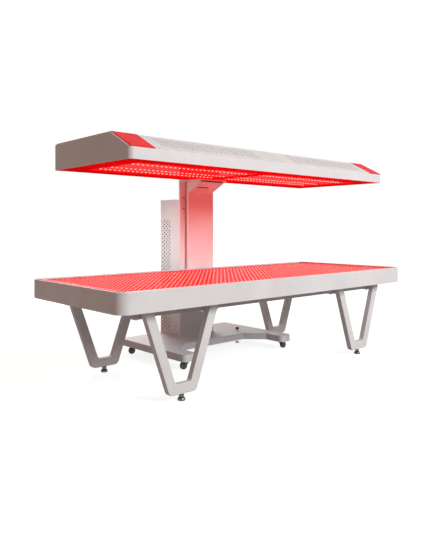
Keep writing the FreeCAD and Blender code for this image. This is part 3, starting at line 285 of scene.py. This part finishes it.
def addPiece(name, bm, finish, body, stands=(), sharpAngle=35):
    mesh = bpy.data.meshes.new(name)
    bm.to_mesh(mesh)
    bm.free()
    mesh.shade_smooth()
    mesh.set_sharp_from_angle(angle=math.radians(sharpAngle))
    mesh.materials.append(finishes[finish])
    piece = bpy.data.objects.new(name, mesh)
    scene.collection.objects.link(piece)
    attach(piece, body)
    if stands:
        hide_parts(*stands)
    return piece


def closeUp(bm):
    bmesh.ops.remove_doubles(bm, verts=bm.verts, dist=weldDistance)
    bmesh.ops.recalc_face_normals(bm, faces=bm.faces)


def easeEdges(bm, edges, offset):
    bmesh.ops.bevel(bm, geom=edges, offset=offset, affect="EDGES", segments=2, profile=0.5, material=-1)


def edgesAt(verts):
    return list({edge for vert in verts for edge in vert.link_edges})


def onlyVerts(items):
    return [item for item in items if isinstance(item, bmesh.types.BMVert)]


def highestFace(verts):
    return max((face for vert in verts for face in vert.link_faces), key=lambda f: f.calc_center_median().z)


def addBlock(bm, low, high):
    middle = Matrix.Translation((low + high) / 2)
    return bmesh.ops.create_cube(bm, size=1.0, matrix=middle @ Matrix.Diagonal((*(high - low), 1)))["verts"]


def addDisc(bm, seat, radius, topRadius, depth, around):
    return bmesh.ops.create_cone(bm, cap_ends=True, segments=around, radius1=radius, radius2=topRadius,
                                 depth=depth, matrix=seat)["verts"]


def spinProfile(bm, profile, place, axis="Z", steps=32):
    start = len(bm.verts)
    line = [bm.verts.new((radius, 0, height)) for radius, height in profile]
    edges = [bm.edges.new(pair) for pair in zip(line, line[1:])]
    bmesh.ops.spin(bm, geom=line + edges, cent=(0, 0, 0), axis=(0, 0, 1), angle=2 * math.pi, steps=steps,
                   use_merge=True)
    bm.verts.ensure_lookup_table()
    made = bm.verts[start:]
    turn = Matrix.Rotation(-math.pi / 2, 4, "X") if axis == "Y" else Matrix.Identity(4)
    bmesh.ops.transform(bm, matrix=Matrix.Translation(place) @ turn, verts=made)


# LED domes, one for each row or field, repeated by arrays

def ledDomes(name, places, facing, repeats, finish, body, look):
    bm = bmesh.new()
    for place in places:
        dome = Matrix.Translation(place) @ Matrix.Diagonal((1, 1, look["height"] / look["radius"], 1))
        bmesh.ops.create_uvsphere(bm, u_segments=look["around"], v_segments=look["rings"],
                                  radius=look["radius"], matrix=dome)
    bmesh.ops.bisect_plane(bm, geom=bm.verts[:] + bm.edges[:] + bm.faces[:], plane_co=places[0],
                           plane_no=(0, 0, facing), clear_inner=True)
    bmesh.ops.holes_fill(bm, edges=[edge for edge in bm.edges if edge.is_boundary], sides=0)
    closeUp(bm)
    narrow, wide = look["collar"] * look["collarTaper"], look["collar"]
    lower, upper = (wide, narrow) if facing > 0 else (narrow, wide)
    for place in places:
        seat = Matrix.Translation(place + Vector((0, 0, facing * look["collarHeight"] / 2)))
        addDisc(bm, seat, lower, upper, look["collarHeight"], look["around"])
    piece = addPiece(name, bm, finish, body, sharpAngle=look["sharp"])
    for count, step in repeats:
        array = piece.modifiers.new("repeat", "ARRAY")
        array.count = count
        array.use_relative_offset = False
        array.use_constant_offset = True
        array.constant_offset_displace = step


bedRepeats = [(bedField["columns"], (bedPitch.x, 0, 0)), (bedField["rows"], (0, bedPitch.y, 0))]
canopyRepeats = [(canopyField["columns"], (canopyField["pitch"], 0, 0)),
                 (2, (canopyReach + canopyField["fromDivider"], 0, 0))]
ledDomes("bed_leds", [bedStart], 1, bedRepeats, "bedLed", "bed", domeLook)
ledDomes("canopy_leds", canopyStarts, -1, canopyRepeats, "canopyLed", "carriage", canopyDome)
print("LED domes done")


# plugs in the open ends of the long rails

plugLook = {"flange": 0.0018, "depth": 0.014, "slack": 0.0004, "wall": 0.0025, "ease": 0.0008}


def railPlug(bm, low, high, outward):
    end = high.x if outward > 0 else low.x
    inset = plugLook["wall"] + plugLook["slack"]
    for draw, near, far in ((plugLook["slack"], 0, plugLook["flange"]), (inset, -plugLook["depth"], 0)):
        ends = sorted((end + outward * near, end + outward * far))
        verts = addBlock(bm, Vector((ends[0], low.y + draw, low.z + draw)),
                         Vector((ends[1], high.y - draw, high.z - draw)))
        easeEdges(bm, edgesAt(verts), plugLook["ease"])


plugs = bmesh.new()
for railName in ("bed_front_rail", "bed_back_rail"):
    for outward in (-1, 1):
        railPlug(plugs, *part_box(railName), outward)
addPiece("rail_plugs", plugs, "frameSteel", "bed")
print("rail plugs done")


# red trim on the rim at the bed's ends, rounded inside the apron's corners

trimLook = {"edge": 0.008, "corner": 0.052, "thick": 0.0006, "ease": 0.0002, "steps": 8}


def endTrim(bm, outward):
    sheetLow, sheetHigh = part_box("bed_top_sheet")
    apronLow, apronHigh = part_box("bed_apron")
    corner = trimLook["corner"]
    radius = corner - trimLook["edge"]
    sweep = math.asin((apronLow.y + corner - sheetLow.y) / radius)
    angles = [sweep * (1 - i / trimLook["steps"]) for i in range(trimLook["steps"] + 1)]
    arc = [(apronHigh.x - corner + radius * math.cos(a), corner - radius * math.sin(a)) for a in angles]
    front = [(x, apronLow.y + y) for x, y in arc]
    back = [(x, apronHigh.y - y) for x, y in reversed(arc)]
    outline = [(sheetHigh.x, sheetLow.y)] + front + back + [(sheetHigh.x, sheetHigh.y)]
    strip = bm.faces.new([bm.verts.new((outward * x, y, apronHigh.z)) for x, y in outline])
    raised = onlyVerts(bmesh.ops.extrude_face_region(bm, geom=[strip])["geom"])
    bmesh.ops.translate(bm, verts=raised, vec=(0, 0, trimLook["thick"]))
    upper = [edge for edge in edgesAt(raised) if all(vert in raised for vert in edge.verts)]
    easeEdges(bm, upper, trimLook["ease"])


trims = bmesh.new()
for outward in (-1, 1):
    endTrim(trims, outward)
closeUp(trims)
addPiece("bed_end_trims", trims, "redTrim", "bed")
print("trims done")


# dark sheets behind the holes of the canopy's slope, beside the fans: painted shade that keeps the holes
# dark

holeShadeLook = {"slopeFoot": (0.065, -0.378, 1.056), "run": 0.148, "rise": 0.078,
              "spans": ((0.130, 0.393), (0.487, 0.750)), "along": (0.016, 0.151),
              "sink": (-0.0032, -0.0004), "rim": 0.004, "dent": 0.0008}


def holeShadeSheet(bm, span):
    corners = zip(span, holeShadeLook["along"], holeShadeLook["sink"])
    outside = highestFace(addBlock(bm, *[Vector(corner) for corner in corners]))
    bmesh.ops.inset_region(bm, faces=[outside], thickness=holeShadeLook["rim"])
    bmesh.ops.translate(bm, verts=outside.verts, vec=(0, 0, -holeShadeLook["dent"]))


# painted shade: one dark sheet behind each group of holes
holeShadeSheets = bmesh.new()
for near, far in holeShadeLook["spans"]:
    for span in ((near, far), (-far, -near)):
        holeShadeSheet(holeShadeSheets, span)
slopeTurn = Matrix.Rotation(math.atan2(holeShadeLook["rise"], holeShadeLook["run"]), 4, "X")
slopeSeat = Matrix.Translation(holeShadeLook["slopeFoot"]) @ slopeTurn
bmesh.ops.transform(holeShadeSheets, matrix=slopeSeat, verts=holeShadeSheets.verts)
addPiece("canopy_shade_sheets", holeShadeSheets, "mouldedBlack", "carriage")
print("filters done")


# levelling feet: domed pad, spanner collar and stem

footLook = {"edge": 0.0015, "edgeRise": 0.0012,
            # share of the pad's radius, height over the floor
            "dome": [(1.0, 0.0045), (0.97, 0.0075), (0.88, 0.0108), (0.74, 0.0135), (0.55, 0.0152)],
            "stem": 0.006, "stemFrom": 0.0156, "stemEase": 0.001,
            "collarWidth": 0.024, "collarLow": 0.0155, "collarHigh": 0.027, "ease": 0.0012}


def levellingFoot(name):
    low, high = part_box(name)
    place = Vector(((low.x + high.x) / 2, (low.y + high.y) / 2, low.z))
    radius = (high.x - low.x) / 2
    height = high.z - low.z
    stem, stemEase = footLook["stem"], footLook["stemEase"]
    profile = [(0, 0), (radius - footLook["edge"], 0), (radius, footLook["edgeRise"])]
    profile += [(radius * share, rise) for share, rise in footLook["dome"]]
    profile += [(stem, footLook["stemFrom"]), (stem, height - stemEase)]
    profile += [(stem - stemEase, height), (0, height)]
    bm = bmesh.new()
    spinProfile(bm, profile, place)
    closeUp(bm)
    middle = (footLook["collarLow"] + footLook["collarHigh"]) / 2
    seat = Matrix.Translation(place + Vector((0, 0, middle)))
    collar = footLook["collarWidth"] / 2
    nut = addDisc(bm, seat, collar, collar, footLook["collarHigh"] - footLook["collarLow"], hexSides)
    easeEdges(bm, edgesAt(nut), footLook["ease"])
    addPiece(name + "_dressed", bm, "darkNickel", name, [name])


for end in ("front", "back"):
    for side in ("left", "right"):
        levellingFoot(f"foot_{end}_{side}")
print("feet done")


# castors: tyre and hub, hooded yoke with a ball race

wheelLook = {"hub": 0.0125, "tyreSteps": 40, "hubSteps": 32,
             # past the hub's radius, depth under the side
             "bead": [(-0.001, 0.003), (0.0, 0.001), (0.002, 0.0002)],
             # short of the wheel's radius, depth under the side
             "tread": [(0.0035, 0.0), (0.0015, 0.001), (0.0004, 0.003), (0.0, 0.0055)],
             # radius, depth under the side
             "face": [(0.0042, 0.0005), (0.0062, 0.0005), (0.0072, 0.0022), (0.0103, 0.0032),
                      (0.0113, 0.0020), (0.0125, 0.0024)],
             "rivets": 5, "rivetRing": 0.0096, "rivetSink": 0.0024, "rivet": 0.0013,
             "rivetAround": 10, "rivetRings": 6}


def bothSides(side):
    ring = side + [(radius, -depth) for radius, depth in reversed(side)]
    return ring + ring[:1]


def castorWheel(name, body):
    low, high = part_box(name)
    centre = (low + high) / 2
    radius = (high.z - low.z) / 2
    half = (high.y - low.y) / 2
    side = [(wheelLook["hub"] + past, half - depth) for past, depth in wheelLook["bead"]]
    side += [(radius - short, half - depth) for short, depth in wheelLook["tread"]]
    bm = bmesh.new()
    spinProfile(bm, bothSides(side), centre, axis="Y", steps=wheelLook["tyreSteps"])
    closeUp(bm)
    addPiece(name + "_tyre", bm, "tyreRubber", body, [name])
    face = [(out, half - depth) for out, depth in wheelLook["face"]]
    bm = bmesh.new()
    spinProfile(bm, bothSides(face), centre, axis="Y", steps=wheelLook["hubSteps"])
    closeUp(bm)
    ring = wheelLook["rivetRing"]
    for hand in (-1, 1):
        for index in range(wheelLook["rivets"]):
            angle = index * 2 * math.pi / wheelLook["rivets"]
            place = centre + Vector((math.cos(angle) * ring, hand * (half - wheelLook["rivetSink"]),
                                     math.sin(angle) * ring))
            bmesh.ops.create_uvsphere(bm, u_segments=wheelLook["rivetAround"],
                                      v_segments=wheelLook["rivetRings"], radius=wheelLook["rivet"],
                                      matrix=Matrix.Translation(place))
    addPiece(name + "_hub", bm, "hubGrey", body)


forkLook = {"top": 0.0446, "pinInset": 0.017,
            # radius, depth under the top
            "race": [(0.0, 0.0), (0.0165, 0.0), (0.017, 0.0006), (0.017, 0.0022), (0.0155, 0.003),
                     (0.0145, 0.0038), (0.0, 0.0038)],
            # radius, height over the top
            "stem": [(0.0, 0.0195), (0.0055, 0.0195), (0.006, 0.019), (0.006, 0.0), (0.0, 0.0)],
            "crown": (-0.0125, 0.0135), "crownDrop": 0.0035,  # reach to both sides of the pin
            # round the axle
            "eye": [(0.0070, 0.0045), (0.0066, -0.0028), (0.0030, -0.0066), (-0.0030, -0.0066),
                    (-0.0066, -0.0028)],
            "cheek": 0.0028, "cheekInset": 0.0012, "ease": 0.0006,
            "boltHead": 0.0055, "boltTaper": 0.9, "boltDepth": 0.0012, "axle": 0.0039, "axleInset": 0.0016,
            "axleAround": 20}


def forkCheek(bm, outline, outer, hand, axle):
    plate = bm.faces.new([bm.verts.new((x, outer, z)) for x, z in outline])
    moved = onlyVerts(bmesh.ops.extrude_face_region(bm, geom=[plate])["geom"])
    bmesh.ops.translate(bm, verts=moved, vec=(0, -hand * forkLook["cheek"], 0))
    edges = edgesAt(moved + list(plate.verts))
    bmesh.ops.recalc_face_normals(bm, faces=list({face for edge in edges for face in edge.link_faces}))
    easeEdges(bm, edges, forkLook["ease"])
    depth, head = forkLook["boltDepth"], forkLook["boltHead"]
    seat = Matrix.Translation((axle.x, outer + hand * depth / 2, axle.z))
    facing = Matrix.Rotation(-hand * math.pi / 2, 4, "X")
    addDisc(bm, seat @ facing, head, head * forkLook["boltTaper"], depth, hexSides)


def castorFork(name, body, wheelName, baseMiddle):
    low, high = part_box(name)
    wheelLow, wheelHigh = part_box(wheelName)
    axle = (wheelLow + wheelHigh) / 2
    outward = 1 if axle.x > baseMiddle.x else -1
    pinX = low.x + forkLook["pinInset"] if outward > 0 else high.x - forkLook["pinInset"]
    top = forkLook["top"]
    pin = Vector((pinX, axle.y, 0))
    bm = bmesh.new()
    spinProfile(bm, [(radius, top - depth) for radius, depth in forkLook["race"]], pin)
    spinProfile(bm, [(radius, top + rise) for radius, rise in forkLook["stem"]], pin)
    closeUp(bm)
    outline = [(pinX + outward * reach, top - forkLook["crownDrop"]) for reach in forkLook["crown"]]
    outline += [(axle.x + outward * x, axle.z + z) for x, z in forkLook["eye"]]
    half = (high.y - low.y) / 2
    for hand in (-1, 1):
        forkCheek(bm, outline, axle.y + hand * (half - forkLook["cheekInset"]), hand, axle)
    across = Matrix.Translation(axle) @ Matrix.Rotation(math.pi / 2, 4, "X")
    axleLength = 2 * (half - forkLook["axleInset"])
    addDisc(bm, across, forkLook["axle"], forkLook["axle"], axleLength, forkLook["axleAround"])
    addPiece(name + "_dressed", bm, "castorBlack", body, [name])


slabLow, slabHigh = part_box("base_slab")
for end in ("front", "back"):
    for side in ("left", "right"):
        wheelNode = f"castor_{end}_{side}_wheel"
        castorWheel(wheelNode, f"wheel_{end}_{side}")
        castorFork(f"castor_{end}_{side}_fork", f"castor_{end}_{side}", wheelNode, (slabLow + slabHigh) / 2)
print("castors done")


# stabilising screw: fluted knob, threaded rod and pad

jackLook = {"knob": 0.011, "knobHeight": 0.016, "rim": 0.0025, "shoulder": 0.0008, "shoulderShare": 0.35,
            "dish": 0.0006, "clear": 0.0006, "knobSteps": 60, "flutes": 10, "fluteDepth": 0.07,
            "fluteMargin": 0.0005, "rod": 0.005, "rodSteps": 28, "threads": 22, "threadFrom": 0.010,
            "threadDepth": 0.0004, "padEase": 0.001, "padSide": 0.0045, "padTop": (0.8, 0.0070),
            "neck": (0.0075, 0.0082)}


def threadedRod(height, pad):
    rod, ease = jackLook["rod"], jackLook["padEase"]
    top = height - jackLook["knobHeight"]
    pitch = (top - jackLook["threadFrom"]) / jackLook["threads"]
    thread = [(rod - jackLook["threadDepth"] * (i % 2), jackLook["threadFrom"] + i * pitch)
              for i in range(jackLook["threads"])]
    share, padTop = jackLook["padTop"]
    foot = [(0, 0), (pad - ease, 0), (pad, ease), (pad, jackLook["padSide"]), (pad * share, padTop),
            jackLook["neck"]]
    inKnob = top + jackLook["rim"]
    return foot + thread + [(rod, inKnob), (0, inKnob)]


def knobProfile(height):
    knob, rim = jackLook["knob"], jackLook["rim"]
    seat = height - jackLook["knobHeight"] + jackLook["clear"]
    return [(0, seat), (knob - rim, seat), (knob, seat + rim), (knob, height - rim),
            (knob - jackLook["shoulder"], height - rim * jackLook["shoulderShare"]), (knob - rim, height),
            (0, height - jackLook["dish"])]


def cutFlutes(bm):
    gripFrom = jackLook["knob"] - jackLook["rim"] - jackLook["fluteMargin"]
    for vert in bm.verts:
        if math.hypot(vert.co.x, vert.co.y) > gripFrom:
            angle = math.atan2(vert.co.y, vert.co.x)
            scale = 1 - jackLook["fluteDepth"] * (0.5 - 0.5 * math.cos(jackLook["flutes"] * angle))
            vert.co.x *= scale
            vert.co.y *= scale


def stabilisingScrew(name):
    low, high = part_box(name)
    place = Vector(((low.x + high.x) / 2, (low.y + high.y) / 2, low.z))
    height = high.z - low.z
    rod = bmesh.new()
    spinProfile(rod, threadedRod(height, (high.x - low.x) / 2), place, steps=jackLook["rodSteps"])
    closeUp(rod)
    knob = bmesh.new()
    spinProfile(knob, knobProfile(height), Vector((0, 0, 0)), steps=jackLook["knobSteps"])
    closeUp(knob)
    cutFlutes(knob)
    bmesh.ops.translate(knob, verts=knob.verts, vec=place)
    addPiece("stabiliser_rod", rod, "brightZinc", "stabiliser", [name])
    addPiece("stabiliser_knob", knob, "mouldedBlack", "stabiliser")


stabilisingScrew("stabiliser_screw")
print("stabilising screw done")


# screws with sunk sockets

screwLook = {"radius": 0.0045, "dome": 0.0022, "taper": 0.82, "socket": 0.4, "sink": 0.0012, "around": 18}


def screwHead(bm, place, outward):
    start = len(bm.verts)
    radius, dome = screwLook["radius"], screwLook["dome"]
    crown = highestFace(addDisc(bm, Matrix.Identity(4), radius, radius * screwLook["taper"], dome,
                                screwLook["around"]))
    bmesh.ops.inset_region(bm, faces=[crown], thickness=radius * screwLook["socket"])
    grown = bmesh.ops.extrude_discrete_faces(bm, faces=[crown])["faces"]
    bmesh.ops.translate(bm, verts=grown[0].verts, vec=(0, 0, -screwLook["sink"]))
    bm.verts.ensure_lookup_table()
    turn = Vector(outward).to_track_quat("Z", "Y").to_matrix().to_4x4()
    seat = Matrix.Translation(Vector(place)) @ turn @ Matrix.Translation((0, 0, dome / 2))
    bmesh.ops.transform(bm, matrix=seat, verts=bm.verts[start:])


def screwSet(name, places, outward, body, finish):
    bm = bmesh.new()
    for place in places:
        screwHead(bm, place, outward)
    closeUp(bm)
    addPiece(name, bm, finish, body)


mastScrews = {"inset": 0.027, "levels": (0.905, 0.842)}
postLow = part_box("mast_left_post")[0]
mastPlaces = [(postLow.x + mastScrews["inset"], postLow.y, level) for level in mastScrews["levels"]]
screwSet("mast_screws", mastPlaces, (0, -1, 0), "stand", "darkNickel")

bracketScrew = {"place": (0.1327, 0.236, 0.9578), "outward": (0, -0.4565, -0.8897)}
screwSet("bracket_screw", [bracketScrew["place"]], bracketScrew["outward"], "carriage", "darkNickel")

columnScrews = {"inset": 0.014, "cover": 0.0025, "margin": 0.03, "rows": 5}
panelLow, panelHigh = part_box("column_left_panel")
columnEdges = (panelLow.x + columnScrews["inset"],
               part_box("column_right_panel")[1].x - columnScrews["inset"])
columnFoot = panelLow.z + columnScrews["margin"]
columnStep = (panelHigh.z - panelLow.z - 2 * columnScrews["margin"]) / (columnScrews["rows"] - 1)
columnPlaces = [(x, panelHigh.y + columnScrews["cover"], columnFoot + row * columnStep)
                for x in columnEdges for row in range(columnScrews["rows"])]
screwSet("column_screws", columnPlaces, (0, 1, 0), "stand", "brightZinc")
print("screws done")


# finishes on the CAD nodes

slotFinish = {"shell_white": "powderCoat", "border_red": "redTrim", "clear_acrylic": "acrylicSheet",
              "led_board": "bedBoard", "aluminium": "millAluminium", "frame_steel": "frameSteel",
              "electronics": "deviceCase", "fastener_steel": "brightZinc", "foot_dark": "darkNickel",
              "castor_metal": "castorBlack", "castor_tyre": "tyreRubber", "black_plastic": "mouldedBlack"}
nodeFinish = {"canopy_led_boards": "canopyBoard", "canopy_lenses": "lampLens",
              "canopy_bottom_frame": "recessRed"}
for part in frame["record"]["subparts"]:
    finish = nodeFinish.get(part["node"], slotFinish[part["material_slot"]])
    mesh = cadNodes[part["node"]].data
    mesh.materials.clear()
    mesh.materials.append(finishes[finish])
print("finishes set")


# floor, light and camera

stageLook = {"floorSize": 40, "bounce": 0.35, "shadowShare": 0.34, "white": (0.86, 1.0), "fade": (1.5, 4.0),
             "ambient": (0.32, 0.19, 0.145)}


def seenDirectly(tree):
    path = tree.nodes.new("ShaderNodeLightPath")
    total = path.outputs["Is Camera Ray"]
    for ray in ("Is Glossy Ray", "Is Transmission Ray"):
        node = tree.nodes.new("ShaderNodeMath")
        node.operation = "MAXIMUM"
        tree.links.new(total, node.inputs[0])
        tree.links.new(path.outputs[ray], node.inputs[1])
        total = node.outputs["Value"]
    return total


def mixBySight(tree, unseen, seen, outputKind):
    mix = tree.nodes.new("ShaderNodeMixShader")
    tree.links.new(seenDirectly(tree), mix.inputs["Fac"])
    tree.links.new(unseen, mix.inputs[1])
    tree.links.new(seen, mix.inputs[2])
    out = tree.nodes.new(outputKind)
    tree.links.new(mix.outputs[0], out.inputs["Surface"])


def plainDiffuse(tree, grey):
    node = tree.nodes.new("ShaderNodeBsdfDiffuse")
    node.inputs["Color"].default_value = (grey, grey, grey, 1)
    return node.outputs[0]


def paleFloor():
    material = bpy.data.materials.new("paleFloor")
    material.use_nodes = True
    tree = material.node_tree
    tree.nodes.clear()
    where = tree.nodes.new("ShaderNodeTexCoord").outputs["Object"]
    white = tree.nodes.new("ShaderNodeEmission")
    strength = spread(tree, vectorLength(tree, where), *stageLook["white"], stageLook["fade"])
    tree.links.new(strength, white.inputs["Strength"])
    both = tree.nodes.new("ShaderNodeAddShader")
    tree.links.new(plainDiffuse(tree, stageLook["shadowShare"]), both.inputs[0])
    tree.links.new(white.outputs[0], both.inputs[1])
    mixBySight(tree, plainDiffuse(tree, stageLook["bounce"]), both.outputs[0], "ShaderNodeOutputMaterial")
    return material


def studioFloor():
    bm = bmesh.new()
    bmesh.ops.create_grid(bm, x_segments=4, y_segments=4, size=stageLook["floorSize"] / 2)
    mesh = bpy.data.meshes.new("studioFloor")
    bm.to_mesh(mesh)
    bm.free()
    mesh.materials.append(paleFloor())
    floor = bpy.data.objects.new("studioFloor", mesh)
    scene.collection.objects.link(floor)


def studioWorld():
    world = bpy.data.worlds.new("studioWorld")
    scene.world = world
    world.use_nodes = True
    tree = world.node_tree
    tree.nodes.clear()
    ambient = tree.nodes.new("ShaderNodeBackground")
    ambient.inputs["Color"].default_value = (*stageLook["ambient"], 1)
    white = tree.nodes.new("ShaderNodeBackground")
    white.inputs["Color"].default_value = (1, 1, 1, 1)
    mixBySight(tree, ambient.outputs[0], white.outputs[0], "ShaderNodeOutputWorld")


lamps = {
    "key": {"place": (0.6, -5.2, 3.2), "aim": (0.0, 0.0, 0.6), "size": 2.2, "power": 262, "spread": 180,
            "colour": (0.92, 0.985, 1.0)},
    "columnLight": {"place": (-1.9, 1.2, 0.45), "aim": (-0.07, 0.42, 0.64), "size": 0.3, "power": 0.65,
                    "spread": 24, "colour": (0.85, 1.0, 1.0)},
    "backFill": {"place": (1.6, 4.2, 2.6), "aim": (0.0, 0.3, 0.6), "size": 2.0, "power": 110, "spread": 180,
                 "colour": (0.94, 0.985, 1.0)},
}


def studioLamp(name, look):
    data = bpy.data.lights.new(name, "AREA")
    data.size = look["size"]
    data.energy = look["power"]
    data.spread = math.radians(look["spread"])
    data.color = look["colour"]
    lamp = bpy.data.objects.new(name, data)
    scene.collection.objects.link(lamp)
    lamp.location = look["place"]
    lamp.rotation_euler = (Vector(look["aim"]) - Vector(look["place"])).to_track_quat("-Z", "Y").to_euler()
    lamp.visible_camera = False


photoCamera = {"place": (-2.121, -2.277, 0.729), "heading": 42.05, "lens": 37.34, "shiftY": -0.0773,
               "far": 200}


def studioCamera(look):
    data = bpy.data.cameras.new("photoCamera")
    data.lens = look["lens"]
    data.shift_y = look["shiftY"]
    data.clip_end = look["far"]
    camera = bpy.data.objects.new("photoCamera", data)
    scene.collection.objects.link(camera)
    camera.location = look["place"]
    camera.rotation_euler = (math.pi / 2, 0, -math.radians(look["heading"]))
    scene.camera = camera


studioFloor()
studioWorld()
for lampName, lampLook in lamps.items():
    studioLamp(lampName, lampLook)
studioCamera(photoCamera)
scene.view_settings.view_transform = "Standard"
print("stage, light and camera set")
